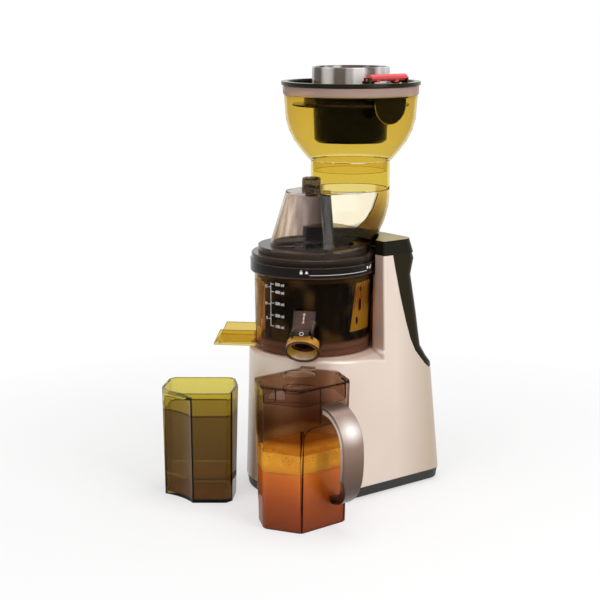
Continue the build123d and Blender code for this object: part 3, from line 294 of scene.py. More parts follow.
@dataclass(frozen=True)
class ShellPaint(SatinPaint):
    """The shell's paint, with painted shade towards the rear, a painted highlight on the shelf's edge, and rose and
    copper painted as reflection and shade in and beside the hollow round the drum; lengths in mm.
    """

    # the copper and rose colours are painted reflection and shade round the drum, gleam is a painted highlight and the
    # rear colour is painted shade
    copper: Colour = (0.25, 0.1, 0.06)
    copper_shade: Colour = (0.06, 0.03, 0.02)
    rose: Colour = (0.45, 0.3, 0.24)
    gleam: Colour = (0.96, 0.95, 0.94)
    rear_shade: Colour = (0.4, 0.33, 0.26)
    rear_shade_stretch: tuple[float, float] = (62.0, 56.0)
    hollow: float = 77.0
    lip_light_width: float = 8.0
    deck: float = 172.0
    copper_steps: tuple[float, float] = (40.0, 90.0)
    tower_front: float = 42.6

    def colour(self, sheet: NodeSheet, flake: Socket) -> Socket:
        """Paint outside, darker towards the rear as painted shade, with a painted highlight on the shelf's edge; rose
        on the tower's front and copper in the hollow are painted reflection and shade.
        """
        height, reach, back = sheet.height(), sheet.reach(), sheet.along((0.0, 1.0, 0.0))
        # painted shade: the paint darkens towards the rear
        paint = sheet.mix(sheet.rise(back, *self.rear_shade_stretch), super().colour(sheet, flake), self.rear_shade)
        front = sheet.fall(back, self.tower_front, 0.6)
        # painted highlight along the shelf's rounded edge, turning rose next to the hollow as painted reflection
        lip = sheet.times(sheet.rise(height, self.deck - 5.0, 2.5), sheet.fall(height, self.deck + 0.4, 0.6))
        lip_light = sheet.mix(sheet.fall(reach, self.hollow, self.lip_light_width), self.gleam, self.rose)
        paint = sheet.mix(sheet.times(lip, front), paint, lip_light)
        # rose on the tower's front face: painted reflection and shade
        above = sheet.rise(height, self.deck, 3.0)
        paint = sheet.mix(sheet.times(above, front), paint, self.rose)
        # copper in the hollow: painted reflection, darker higher up as painted shade
        inside = sheet.fall(reach, self.hollow - 0.6, 0.6)
        even, dark = (self.deck + step for step in self.copper_steps)
        copper = sheet.bands(height, ((self.deck, self.copper), (even, self.copper), (dark, self.copper_shade)))
        return sheet.mix(sheet.times(above, inside), paint, copper)


@dataclass(frozen=True)
class StrapMetal(SatinPaint):
    """Satin metal that darkens towards the foot of the strap as painted shade, with a painted highlight round the bend.
    """

    levels: Stops = ()
    gleam: Colour = (0.95, 0.9, 0.86)
    gleam_place: Point = (166.0, -88.0, 116.0)
    gleam_reach: float = 22.0

    def colour(self, sheet: NodeSheet, flake: Socket) -> Socket:
        """The colour for each height, darker lower down as painted shade and paler round the bend as a painted
        highlight, with the flake over it.
        """
        # painted shade: darker towards the foot of the strap
        level = sheet.bands(sheet.height(), self.levels)
        # painted highlight: paler near one spot round the bend
        away = sheet.node("ShaderNodeVectorMath", {"operation": "DISTANCE"}, Vector=sheet.from_axis((1.0, 1.0, 1.0)))
        away.inputs[1].default_value = tuple(value * MM for value in self.gleam_place)
        near = sheet.fall(away.outputs["Value"], 3.0, self.gleam_reach - 3.0)
        level = sheet.mix(sheet.maths("POWER", near, 1.6), level, self.gleam)
        return sheet.mix(sheet.span(flake, 0.55, 0.8, 0.0, 0.2), level, self.shade)


@dataclass(frozen=True)
class MouldedPlastic(Finish):
    """Opaque plastic or rubber with the fine relief of its mould."""

    base: Colour
    roughness: float = 0.35
    grain: float = 1800.0
    depth: float = 0.01 * MM
    edge: float = 0.5 * MM
    coat: float = 0.0

    def lay(self, sheet: NodeSheet) -> Material:
        """Lays out the nodes on a fresh sheet."""
        grain = sheet.noise(self.grain, 3.0)
        wear = sheet.noise(45.0, 4.0)
        lighter = tuple(min(1.0, channel * 1.35 + 0.004) for channel in self.base)
        colour = sheet.mix(sheet.span(wear, 0.35, 0.75, 0.0, 0.6), self.base, lighter)
        rough = sheet.span(wear, 0.3, 0.7, max(0.03, self.roughness - 0.06), self.roughness + 0.08)
        normal = sheet.bump(grain, self.depth, sheet.soft_edge(self.edge))
        return sheet.finish(Base_Color=colour, Roughness=rough, Normal=normal, Coat_Weight=self.coat,
                            Coat_Roughness=0.06)


@dataclass(frozen=True)
class TopLitPlastic(MouldedPlastic):
    """Dark gloss plastic whose upward faces carry a lighter colour, painted light from above."""

    # the lighter colour that upward faces take: painted light from above
    top_light: Colour = (0.1, 0.08, 0.03)
    specular: float = 0.3
    steep: float = 0.75

    def lay(self, sheet: NodeSheet) -> Material:
        """Lays out the nodes on a fresh sheet."""
        grain = sheet.noise(self.grain, 3.0)
        cloud = sheet.noise(30.0, 3.0)
        # painted light: faces that point up take the lighter colour
        upward = sheet.node("ShaderNodeSeparateXYZ", Vector=sheet.node("ShaderNodeNewGeometry").outputs["Normal"])
        share = sheet.span(upward.outputs["Z"], self.steep, self.steep + 0.2, 0.0, 1.0)
        share = sheet.times(share, sheet.span(cloud, 0.2, 0.8, 0.75, 1.0))
        return sheet.finish(Base_Color=sheet.mix(share, self.base, self.top_light), Roughness=self.roughness,
                            Normal=sheet.bump(grain, self.depth, sheet.soft_edge(self.edge)),
                            Specular_IOR_Level=self.specular)


@dataclass(frozen=True)
class ClearPlastic(Finish):
    """Tinted clear plastic with a painted outline on its edges and grazing faces: a dark outline is painted shade in
    place of the lines refraction draws, a pale one a painted highlight.
    """

    tint: Colour
    # colour painted on edges and grazing faces: dark as painted shade for refraction's lines, pale as a painted
    # highlight
    painted_edge_outline: Colour
    clear: float = 1.0
    roughness: float = 0.035
    ior: float = 1.22
    edge: float = 0.9 * MM
    rim_share: float = 0.85
    levels: Stops = ()
    coat: float = 0.0
    haze_from: float = 0.0
    haze_clear: float = 0.5

    def tint_over(self, sheet: NodeSheet) -> object:
        """Tint of the plastic: one colour, or one for each height in mm."""
        return sheet.bands(sheet.height(), self.levels) if self.levels else self.tint

    def clarity(self, sheet: NodeSheet) -> object:
        """How clear the plastic is: one number, or another above a height."""
        if not self.haze_from:
            return self.clear
        return sheet.span(sheet.height(), self.haze_from * MM, (self.haze_from + 1.0) * MM, self.clear, self.haze_clear)

    def lay(self, sheet: NodeSheet) -> Material:
        """Lays out the nodes on a fresh sheet."""
        ripple = sheet.noise(60.0, 3.0)
        # painted outline on the edges and where the surface is seen at a grazing angle
        facing = sheet.node("ShaderNodeLayerWeight", Blend=0.35).outputs["Facing"]
        rim = sheet.maths("POWER", facing, 3.0)
        share = sheet.maths("MAXIMUM", sheet.edge_share(self.edge, 0.12), sheet.times(rim, self.rim_share))
        colour = sheet.mix(share, self.tint_over(sheet), self.painted_edge_outline)
        return sheet.finish(Base_Color=colour, Roughness=self.roughness, Transmission_Weight=self.clarity(sheet),
                            IOR=self.ior, Normal=sheet.bump(ripple, 0.03 * MM), Specular_IOR_Level=0.6,
                            Coat_Weight=self.coat, Coat_Roughness=0.08)


@dataclass(frozen=True)
class SleevePlastic(Finish):
    """Amber lining of the spout's mouth: cream at its lip as a painted highlight, brown in its roof."""

    base: Colour
    # the cream at the lip is a painted highlight
    levels: Stops = stops((173.0, 255, 236, 208), (178.0, 240, 206, 160), (181.0, 196, 160, 62),
                          (190.0, 176, 140, 56), (198.0, 196, 164, 110))

    def lay(self, sheet: NodeSheet) -> Material:
        """Lays out the nodes on a fresh sheet."""
        ripple = sheet.noise(120.0, 3.0)
        colour = sheet.mix(sheet.span(ripple, 0.4, 0.7, 0.0, 0.3), sheet.bands(sheet.height(), self.levels), self.base)
        return sheet.finish(Base_Color=colour, Roughness=0.3, Specular_IOR_Level=0.2)


@dataclass(frozen=True)
class DrumPlastic(ClearPlastic):
    """The drum's clear plastic: brown wall, olive chute and grey spout."""

    chute: Colour = (0.6, 0.4, 0.06)
    spout: Colour = (0.5, 0.42, 0.36)
    mouth: Colour = (0.7, 0.5, 0.2)
    wall_end: float = 70.2
    spout_bend: float = 86.0
    spout_mouth: float = 100.0
    # the wall's soft brown patches are painted reflections, and the foot is dulled to show its painted copper
    # reflection
    cloud: float = 0.05
    reflection_patch_scale: Point = (34.0, 34.0, 30.0)
    foot: float = 186.0
    foot_height: float = 3.0
    foot_reflection_haze: float = 0.13

    def tint_over(self, sheet: NodeSheet) -> object:
        """Brown out to the wall, then one tint for each of the two outlets."""
        reach = sheet.reach()
        spout = sheet.bands(reach, ((self.wall_end, self.spout), (self.spout_bend, self.spout),
                                    (self.spout_mouth, self.mouth)))
        right = sheet.rise(sheet.along((1.0, 0.0, 0.0)), -1.0, 2.0)
        outside = sheet.rise(reach, self.wall_end, 1.0)
        return sheet.mix(outside, super().tint_over(sheet), sheet.mix(right, self.chute, spout))

    def clarity(self, sheet: NodeSheet) -> object:
        """Clear, with soft brown patches on the wall as painted reflections, and a duller foot where its painted copper
        reflection shows.
        """
        # painted reflections: soft brown patches on the wall
        reflection_patches = sheet.span(sheet.noise(1.0, 1.0, self.reflection_patch_scale), 0.5, 0.6, 0.0, self.cloud)
        foot = sheet.span(sheet.height(), self.foot * MM, (self.foot + self.foot_height) * MM, self.foot_reflection_haze, 0.0)
        wall = sheet.fall(sheet.reach(), self.wall_end, 1.0)
        return sheet.maths("SUBTRACT", 1.0, sheet.times(wall, sheet.maths("MAXIMUM", reflection_patches, foot)))


@dataclass(frozen=True)
class LidPlastic(ClearPlastic):
    """The lid's clear plastic: smoky in front, then painted light seen through it, pale beside its inner wall and gold
    where the elbow leans back.
    """

    across: Stops = ()
    smoke: Colour = (0.2, 0.17, 0.15)
    # the cream and gold colours are painted light seen through the lid, the shadow and the darker gold below them
    # painted shade
    cream: Colour = (0.95, 0.9, 0.8)
    shadow: Colour = (0.05, 0.04, 0.03)
    gold: Colour = (0.75, 0.55, 0.2)
    gold_shade: Colour = (0.25, 0.14, 0.02)
    disc_top: float = 294.5
    disc: Colour = (0.1, 0.08, 0.07)
    way_across: Point = (0.609, 0.793, 0.0)
    streak_scale: Point = (85.0, 85.0, 6.0)
    pale_start: float = 10.0
    pale_way: Point = (-0.213, -0.278, 1.0)
    pale_foot: tuple[float, float] = (282.0, 289.0)
    gold_way: Point = (0.0, -0.6, 0.8)
    gold_foot: tuple[float, float] = (195.0, 225.0)
    seam_way: Point = (-0.1687, 0.1294, 1.0)
    seam_unit: float = 100.0
    seam: tuple[tuple[float, float], ...] = ((297.7, 22.0), (300.9, 34.8), (310.5, 50.2), (323.7, 63.1),
                                             (336.9, 71.3), (354.8, 77.0))

    def tint_over(self, sheet: NodeSheet) -> object:
        """Smoky streaks, then a pale part of painted light with a painted shadow at its foot, then gold painted light,
        darker lower down as painted shade, and dark on the disc.
        """
        across = sheet.along(self.way_across)
        streaks = sheet.span(sheet.noise(1.0, 2.0, self.streak_scale), 0.46, 0.62, 0.0, 0.55)
        front = sheet.mix(streaks, sheet.bands(across, self.across), self.smoke)
        # painted light, pale beside the inner wall, over a painted shadow at its foot
        pale = sheet.bands(sheet.along(self.pale_way), tuple(zip(self.pale_foot, (self.shadow, self.cream))))
        # painted light, gold through the back of the elbow, darker lower down as painted shade
        gold = sheet.bands(sheet.along(self.gold_way), tuple(zip(self.gold_foot, (self.gold_shade, self.gold))))
        colour = sheet.mix(sheet.rise(across, self.pale_start, 5.0), front, pale)
        seam = sheet.bands(sheet.along(self.seam_way), tuple((z, (far / self.seam_unit,) * 3) for z, far in self.seam))
        beyond = sheet.maths("SUBTRACT", across, sheet.times(seam, self.seam_unit * MM))
        colour = sheet.mix(sheet.rise(beyond, -1.5, 3.0), colour, gold)
        return sheet.mix(sheet.fall(sheet.height(), self.disc_top, 2.0), colour, self.disc)


@dataclass(frozen=True)
class PanelPlastic(ClearPlastic):
    """Clear plastic with broad upright panels of light and shade above a dark body."""

    panel: Colour = (0.05, 0.04, 0.04)
    panel_from: float = 476.0
    panel_scale: Point = (42.0, 42.0, 0.6)

    def tint_over(self, sheet: NodeSheet) -> object:
        """The tint for each height, with the panels on the upper tube."""
        share = sheet.span(sheet.noise(1.0, 1.0, self.panel_scale), 0.44, 0.54, 0.0, 0.9)
        high = sheet.rise(sheet.height(), self.panel_from, 1.0)
        return sheet.mix(sheet.times(share, high), super().tint_over(sheet), self.panel)


@dataclass(frozen=True)
class BrushedMetal(Finish):
    """Turned or drawn metal with fine lines along one direction."""

    base: Colour
    stretch: Point = (1.0, 1.0, 60.0)
    roughness: float = 0.3

    def lay(self, sheet: NodeSheet) -> Material:
        """Lays out the nodes on a fresh sheet."""
        lines = sheet.noise(260.0, 3.0, self.stretch)
        dull = tuple(channel * 0.72 for channel in self.base)
        colour = sheet.mix(sheet.span(lines, 0.3, 0.7, 0.0, 1.0), self.base, dull)
        rough = sheet.span(lines, 0.3, 0.7, self.roughness, self.roughness + 0.15)
        normal = sheet.bump(lines, 0.01 * MM, sheet.soft_edge(0.3 * MM))
        return sheet.finish(Base_Color=colour, Metallic=1.0, Roughness=rough, Normal=normal)


@dataclass(frozen=True)
class PiercedMetal(Finish):
    """Thin steel sheet pierced with small round holes."""

    base: Colour
    pitch: float = 1.6 * MM

    def lay(self, sheet: NodeSheet) -> Material:
        """Lays out the nodes on a fresh sheet."""
        hole = sheet.span(sheet.cells(1.0 / self.pitch, 0.0), 0.26, 0.34, 1.0, 0.0)
        colour = sheet.mix(hole, self.base, (0.01, 0.008, 0.006))
        return sheet.finish(Base_Color=colour, Metallic=1.0, Roughness=0.28,
                            Normal=sheet.bump(hole, -0.1 * MM))


@dataclass(frozen=True)
class FruitJuice(Finish):
    """Pressed juice that darkens towards the bottom, with drifting pulp."""

    top: Colour
    middle: Colour
    bottom: Colour
    z_low: float
    z_high: float

    def lay(self, sheet: NodeSheet) -> Material:
        """Lays out the nodes on a fresh sheet."""
        drift = sheet.noise(28.0, 5.0, (1.0, 1.0, 0.45))
        level = sheet.span(sheet.height(), self.z_low, self.z_high, 0.0, 1.0)
        level = sheet.maths("ADD", level, sheet.times(sheet.maths("SUBTRACT", drift, 0.5), 0.35))
        colour = sheet.ramp(level, (0.0, self.bottom), (0.5, self.middle), (1.0, self.top))
        colour = sheet.mix(sheet.span(sheet.cells(700.0), 0.0, 0.22, 0.22, 0.0), colour, self.top)
        return sheet.finish(Base_Color=colour, Roughness=0.25, Subsurface_Weight=0.25, Subsurface_Scale=4 * MM)


@dataclass(frozen=True)
class FruitFoam(Finish):
    """Foam with small bubbles and flecks of peel."""

    base: Colour
    deep: Colour
    fleck: Colour
    near_juice: Colour = (0.6, 0.24, 0.035)
    peel: tuple[float, float] = (76.0, 86.0)
    juicy: tuple[float, float] = (67.0, 75.0)
    line: tuple[float, float] = (68.0, 68.9)
    wave: float = 4.0

    def lay(self, sheet: NodeSheet) -> Material:
        """Lays out the nodes on a fresh sheet; the heights are in mm."""
        height, bubbles, tiny = sheet.height(), sheet.cells(420.0), sheet.cells(1500.0)
        flecks = sheet.span(sheet.cells(260.0), 0.14, 0.24, 0.9, 0.0)
        colour = sheet.mix(sheet.span(sheet.noise(70.0, 4.0), 0.35, 0.7, 0.0, 1.0), self.base, self.deep)
        colour = sheet.mix(sheet.span(bubbles, 0.0, 0.6, 0.35, 0.0), colour, self.deep)
        top = sheet.span(height, self.peel[0] * MM, self.peel[1] * MM, 0.25, 1.0)
        colour = sheet.mix(sheet.times(top, flecks), colour, self.fleck)
        low = sheet.span(height, self.juicy[0] * MM, self.juicy[1] * MM, 0.85, 0.0)
        colour = sheet.mix(low, colour, self.near_juice)
        rest = sheet.maths("ADD", height, sheet.times(sheet.noise(55.0, 1.0), self.wave * MM))
        end = sheet.span(rest, self.line[1] * MM, (self.line[1] + 0.9) * MM, 0.55, 0.0)
        colour = sheet.mix(sheet.times(sheet.rise(rest, self.line[0], 0.6), end), colour, self.fleck)
        relief = sheet.maths("ADD", sheet.times(bubbles, 0.8), tiny)
        return sheet.finish(Base_Color=colour, Roughness=0.42, Normal=sheet.bump(relief, 0.35 * MM),
                            Subsurface_Weight=0.2, Subsurface_Scale=3 * MM)


@dataclass(frozen=True)
class PrintedInk(Finish):
    """Screen-printed marking, very slightly worn."""

    base: Colour

    def lay(self, sheet: NodeSheet) -> Material:
        """Lays out the nodes on a fresh sheet."""
        wear = sheet.noise(900.0, 3.0)
        dull = tuple(channel * 0.8 for channel in self.base)
        return sheet.finish(Base_Color=sheet.mix(sheet.span(wear, 0.45, 0.8, 0.0, 1.0), self.base, dull),
                            Roughness=0.5)


class Slot(Enum):
    """Names of the record's material slots."""

    CHAMPAGNE = "champagne"
    BLACK_GLOSS = "black_gloss"
    BLACK_MATTE = "black_matte"
    RUBBER = "rubber"
    STEEL = "steel"
    COPPER = "copper"
    NYLON = "nylon"
    BOARD = "board"
    AMBER = "amber"
    SMOKE = "smoke"
    SILICONE = "silicone"
    RED = "red"
    ROSE_METAL = "rose_metal"
    AUGER_BLACK = "auger_black"
    CUP_OLIVE = "cup_olive"


def slot_finishes() -> dict[Slot, Finish]:
    """The finish of each material slot."""
    return {
        # the champagne paint's copper and rose are painted reflection and shade round the drum, its rear colour painted
        # shade
        Slot.CHAMPAGNE: ShellPaint("champagne_paint", tone(221, 205, 192), tone(206, 188, 173), 0.34, 0.25,
            copper=tone(226, 158, 122), copper_shade=tone(166, 122, 92),
            rose=tone(205, 178, 162), rear_shade=tone(182, 163, 143)),
        Slot.BLACK_GLOSS: TopLitPlastic("gloss_black", tone(22, 20, 11), 0.2, 900.0, 0.004 * MM, 1.0 * MM,
            top_light=tone(118, 106, 56), specular=0.12),
        Slot.BLACK_MATTE: MouldedPlastic("matt_black", tone(20, 19, 17), 0.5, 2400.0, 0.02 * MM),
        Slot.RUBBER: MouldedPlastic("foot_rubber", tone(18, 18, 18), 0.75, 1500.0, 0.03 * MM),
        Slot.STEEL: BrushedMetal("turned_steel", tone(196, 196, 200)),
        Slot.COPPER: BrushedMetal("wound_copper", tone(205, 120, 72), (60.0, 1.0, 1.0)),
        Slot.NYLON: MouldedPlastic("ivory_nylon", tone(226, 222, 208), 0.42),
        Slot.BOARD: MouldedPlastic("board_green", tone(24, 92, 54), 0.35),
        Slot.AMBER: ClearPlastic("amber_clear", tone(231, 213, 134), tone(140, 88, 18), ior=1.07),
        Slot.SMOKE: ClearPlastic("smoke_clear", tone(176, 158, 146), tone(52, 40, 32)),
        Slot.SILICONE: MouldedPlastic("dark_silicone", tone(30, 27, 22), 0.5),
        Slot.RED: MouldedPlastic("latch_red", tone(214, 58, 62), 0.22, 900.0, 0.005 * MM, 0.6 * MM, 0.4),
        # the strap's levels are painted shade, darker towards the foot, and gleam_place sets a painted highlight on the
        # bend
        Slot.ROSE_METAL: StrapMetal("rose_metal", tone(146, 116, 100), tone(112, 88, 74), 0.3, 0.75,
            levels=stops(
                (30.0, 40, 28, 20), (56.0, 78, 60, 48), (84.0, 116, 91, 77), (108.0, 150, 126, 112),
                (136.0, 156, 132, 118), (150.0, 118, 95, 82)),
            gleam_place=(174.2, -81.5, 122.1)),
        Slot.AUGER_BLACK: MouldedPlastic("auger_black", tone(16, 15, 10), 0.25, 900.0, 0.005 * MM, 0.8 * MM),
        Slot.CUP_OLIVE: ClearPlastic("olive_clear", tone(226, 214, 120), tone(70, 56, 10)),
    }


def node_finishes() -> dict[str, Finish]:
    """Finishes of the nodes that differ from the rest of their slot."""
    # the ring's brown is painted highlight on its steps
    ring_dark, ring_highlight = tone(44, 32, 22), tone(150, 120, 100)
    return {
        # the copper tone at the drum's foot is a painted reflection
        "drum": DrumPlastic("drum_smoke", tone(192, 148, 76), tone(52, 36, 18), edge=1.4 * MM, ior=1.12, levels=stops(
                (186.0, 196, 140, 108), (189.0, 192, 148, 76), (262.0, 192, 148, 76)),
            chute=tone(224, 198, 108), spout=tone(206, 192, 182), mouth=tone(240, 206, 130)),
        "hopper_bowl": ClearPlastic("bowl_amber", tone(231, 213, 134), tone(140, 88, 18), ior=1.07, levels=stops(
                (384.0, 250, 244, 222), (389.5, 250, 244, 222), (391.0, 233, 216, 138), (460.0, 226, 205, 122),
                (465.0, 206, 186, 122), (467.5, 206, 180, 168)),
            haze_from=465.0, haze_clear=0.55),
        # the lining's levels are painted shade, darker towards its foot, under the default painted highlight
        "handle_core": StrapMetal("strap_lining", tone(150, 128, 114), tone(120, 98, 84), 0.35, 0.3, levels=stops(
                (44.0, 44, 32, 24), (60.0, 120, 100, 86), (90.0, 186, 168, 156), (130.0, 226, 212, 202))),
        "neck_tube": ClearPlastic("neck_clear", tone(233, 216, 136), tone(206, 176, 84), ior=1.03, edge=0.3 * MM,
            rim_share=0.5),
        "lid_plug": ClearPlastic("plug_smoke", tone(104, 90, 80), tone(14, 11, 7), ior=1.15, edge=1.0 * MM, coat=0.3),
        # the cap's olive top is painted light from above, on slanted faces too
        "tower_cap": TopLitPlastic("cap_black", tone(24, 21, 11), 0.3, 900.0, 0.004 * MM, 1.0 * MM,
            top_light=tone(172, 156, 84), specular=0.1, steep=0.25),
        "back_panel": TopLitPlastic("back_black", tone(34, 29, 13), 0.25, 900.0, 0.004 * MM, 1.0 * MM,
            top_light=tone(118, 106, 56), specular=0.08),
        "strainer": TopLitPlastic("strainer_black", tone(13, 11, 7), 0.5, top_light=tone(26, 22, 14), specular=0.04),
        "brush_holder": TopLitPlastic("brush_black", tone(13, 11, 7), 0.5, top_light=tone(26, 22, 14), specular=0.04),
        "auger": TopLitPlastic("auger_black_inside", tone(18, 16, 11), 0.35, top_light=tone(34, 30, 22), specular=0.12),
        # the gate's pale outline is a painted highlight
        "spout_gate": ClearPlastic("gate_smoke", tone(150, 118, 104), tone(206, 198, 192), 0.8, ior=1.06,
            edge=0.35 * MM, rim_share=0.2),
        # the lid's cream and gold are painted light, its shadow and darker gold painted shade
        "lid": LidPlastic("lid_smoke", tone(238, 228, 214), tone(48, 40, 34), 0.82, ior=1.12, coat=0.12,
            haze_from=294.5, haze_clear=1.0, across=stops(
                (-50.0, 176, 146, 118), (-38.0, 238, 224, 206), (-28.0, 238, 226, 214), (-14.0, 206, 194, 188),
                (4.0, 150, 138, 132), (10.0, 120, 112, 104)),
            smoke=tone(150, 134, 126), cream=tone(253, 247, 232), shadow=tone(70, 58, 46),
            gold=tone(238, 216, 134), gold_shade=tone(110, 78, 18), disc=tone(112, 98, 88)),
        # the brown bands on the ring's steps are painted highlights
        "lock_ring": ClearPlastic("ring_smoke", tone(64, 48, 36), tone(26, 20, 14), 0.8, levels=(
            (262.8, ring_dark), (264.4, ring_highlight), (265.6, ring_dark), (275.4, ring_dark), (276.2, ring_highlight),
            (277.4, ring_dark), (281.0, ring_dark), (282.0, tone(108, 84, 66)), (283.4, ring_dark),
            (284.6, ring_highlight))),
        "jug_body": ClearPlastic("jug_smoke", tone(206, 186, 172), tone(26, 12, 6), ior=1.07, edge=1.5 * MM,
            levels=stops(
                (60.0, 240, 208, 176), (66.0, 240, 208, 176), (67.5, 244, 220, 170), (96.0, 238, 212, 164),
                (104.0, 164, 126, 88), (124.0, 170, 142, 118), (146.0, 216, 200, 190))),
        # the jug lid's pale outline is a painted highlight
        "jug_lid": ClearPlastic("jug_lid_smoke", tone(232, 212, 196), tone(110, 92, 80), ior=1.06, edge=0.8 * MM),
        "pulp_cup": ClearPlastic("cup_clear", tone(221, 208, 129), tone(16, 12, 2), edge=1.9 * MM, levels=stops(
                (2.0, 150, 122, 74), (10.0, 170, 138, 84), (25.0, 156, 130, 80), (26.0, 220, 204, 150),
                (27.0, 148, 126, 78), (102.4, 162, 140, 80), (103.0, 70, 56, 20), (103.8, 70, 56, 20),
                (104.6, 212, 196, 104), (131.0, 220, 206, 102))),
        "feed_cup": PanelPlastic("feed_cup_smoke", tone(196, 190, 188), tone(24, 20, 16), haze_from=472.0,
            haze_clear=0.2, levels=stops(
                (452.4, 20, 17, 12), (454.4, 70, 60, 52), (462.0, 120, 106, 98), (474.0, 150, 134, 126),
                (477.0, 242, 238, 238)), panel=tone(84, 66, 56)),
        "strainer_mesh": PiercedMetal("pierced_steel", tone(24, 20, 14)),
    }


def dress_nodes() -> None:
    """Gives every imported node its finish."""
    slots = {part["node"]: part["material_slot"] for part in frame["record"]["subparts"]}
    shared = {slot.value: finish.build() for slot, finish in slot_finishes().items()}
    own = {name: finish.build() for name, finish in node_finishes().items()}
    for name, node in frame["nodes"].items():
        material = own.get(name) or shared[slots[name]]
        node.data.materials.clear()
        node.data.materials.append(material)
        LOG.info("dressed %s with %s", name, material.name)


# ---------------------------------------------------------------- modelling


def mode(name: str) -> None:
    """Switches the active object's mode."""
    bpy.ops.object.mode_set(mode=name)


def apply_place() -> None:
    """Puts the active object's place, turn and size into its mesh."""
    bpy.ops.object.transform_apply(location=True, rotation=True, scale=True)


def deselect() -> None:
    """Leaves nothing selected."""
    if bpy.context.object and bpy.context.object.mode != "OBJECT":
        mode("OBJECT")
    bpy.ops.object.select_all(action="DESELECT")


def start(name: str) -> Piece:
    """Names the new primitive and its mesh."""
    piece = bpy.context.object
    piece.name = name
    piece.data.name = name
    return piece


def settle(piece: Piece, smooth: float = 35.0) -> Piece:
    """Puts the piece's place into its mesh, faces it outwards and smooths it."""
    deselect()
    piece.select_set(True)
    bpy.context.view_layer.objects.active = piece
    apply_place()
    mode("EDIT")
    bpy.ops.mesh.select_all(action="SELECT")
    bpy.ops.mesh.remove_doubles(threshold=0.002 * MM)
    bpy.ops.mesh.normals_make_consistent(inside=False)
    mode("OBJECT")
    bpy.ops.object.shade_smooth_by_angle(angle=math.radians(smooth))
    return piece


def dress(piece: Piece, material: Material, body: str) -> Piece:
    """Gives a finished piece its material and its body."""
    piece.data.materials.clear()
    piece.data.materials.append(material)
    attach(piece, body)
    LOG.info("built %s on %s", piece.name, body)
    return piece


def facing_out(deg: float, radius: float, z: float) -> Matrix:
    """Place and turn of something flat that faces away from the drum axis, lengths in metres."""
    turn = math.radians(deg)
    out = Vector((math.cos(turn), math.sin(turn), 0.0))
    axes = Matrix((Vector((-out.y, out.x, 0.0)), Vector((0, 0, 1)), out)).transposed().to_4x4()
    return Matrix.Translation(AXIS + out * radius + Vector((0, 0, z))) @ axes


def pick_vertices(piece: Piece, test: Callable[[Vector], bool]) -> None:
    """Selects the vertices whose place passes a test, in edit mode's vertex selection."""
    mode("OBJECT")
    for element in (*piece.data.polygons, *piece.data.edges):
        element.select = False
    for vertex in piece.data.vertices:
        vertex.select = bool(test(piece.matrix_world @ vertex.co))
    mode("EDIT")
    bpy.ops.mesh.select_mode(type="VERT")


def prism(name: str, low: list[Vector], high: list[Vector], round_off: float) -> Piece:
    """Upright prism between two outlines of the same number of corners, its upright edges rounded.

    Args:
        name: Name of the piece.
        low: Corners at the foot, in order.
        high: Corners at the top.
        round_off: Width of the rounding.

    Returns:
        The new object, still to be settled.
    """
    deselect()
    count = len(low)
    centre = sum(low, Vector()) / count
    bpy.ops.mesh.primitive_cylinder_add(vertices=count, radius=0.02, depth=0.02, location=centre)
    piece = start(name)
    apply_place()
    corners = [v.index for v in piece.data.vertices]
    lower = [i for i in corners if piece.data.vertices[i].co.z < centre.z]
    upper = [i for i in corners if piece.data.vertices[i].co.z > centre.z]

    def angle(index: int) -> float:
        spot = piece.data.vertices[index].co - centre
        return math.atan2(spot.y, spot.x)

    for ring, goal in ((sorted(lower, key=angle), low), (sorted(upper, key=angle), high)):
        ordered = sorted(goal, key=lambda p: math.atan2(p.y - centre.y, p.x - centre.x))
        for index, target in zip(ring, ordered):
            source = piece.data.vertices[index].co.copy()
            pick_vertices(piece, lambda co, s=source: (co - s).length < 1e-6)
            bpy.ops.transform.translate(value=target - source)
            mode("OBJECT")
    upright = []
    for edge in piece.data.edges:
        first, second = (piece.data.vertices[i].co for i in edge.vertices)
        if abs(first.z - second.z) > 0.5 * abs(low[0].z - high[0].z):
            upright.append(edge.index)
    mode("EDIT")
    bpy.ops.mesh.select_mode(type="EDGE")
    bpy.ops.mesh.select_all(action="DESELECT")
    mode("OBJECT")
    for index in upright:
        piece.data.edges[index].select = True
    mode("EDIT")
    bpy.ops.mesh.bevel(offset=round_off, segments=4, affect="EDGES")
    mode("OBJECT")
    return piece


def arc_bar(name: str, radius: float, start_deg: float, end_deg: float, z: float, size: tuple[float, float]
            ) -> Piece:
    """Thin bar bent round the drum axis.

    Args:
        name: Name of the piece.
        radius: Radius of the bar's inner face.
        start_deg: Angle at which it starts.
        end_deg: Angle at which it ends.
        z: Height of its middle.
        size: Its depth along the radius and its height.

    Returns:
        The new object, settled.
    """
    deselect()
    turn = math.radians(start_deg)
    middle = AXIS + Vector((math.cos(turn), math.sin(turn), 0.0)) * (radius + size[0] / 2) + Vector((0, 0, z))
    bpy.ops.mesh.primitive_plane_add(size=1.0, location=middle, rotation=(math.pi / 2, 0.0, turn))
    piece = start(name)
    piece.scale = (size[0], size[1], 1.0)
    apply_place()
    mode("EDIT")
    bpy.ops.mesh.select_all(action="SELECT")
    steps = max(2, int(abs(end_deg - start_deg) / 3.0))
    bpy.ops.mesh.spin(steps=steps, angle=math.radians(start_deg - end_deg), center=AXIS, axis=(0, 0, 1))
    mode("OBJECT")
    return settle(piece)


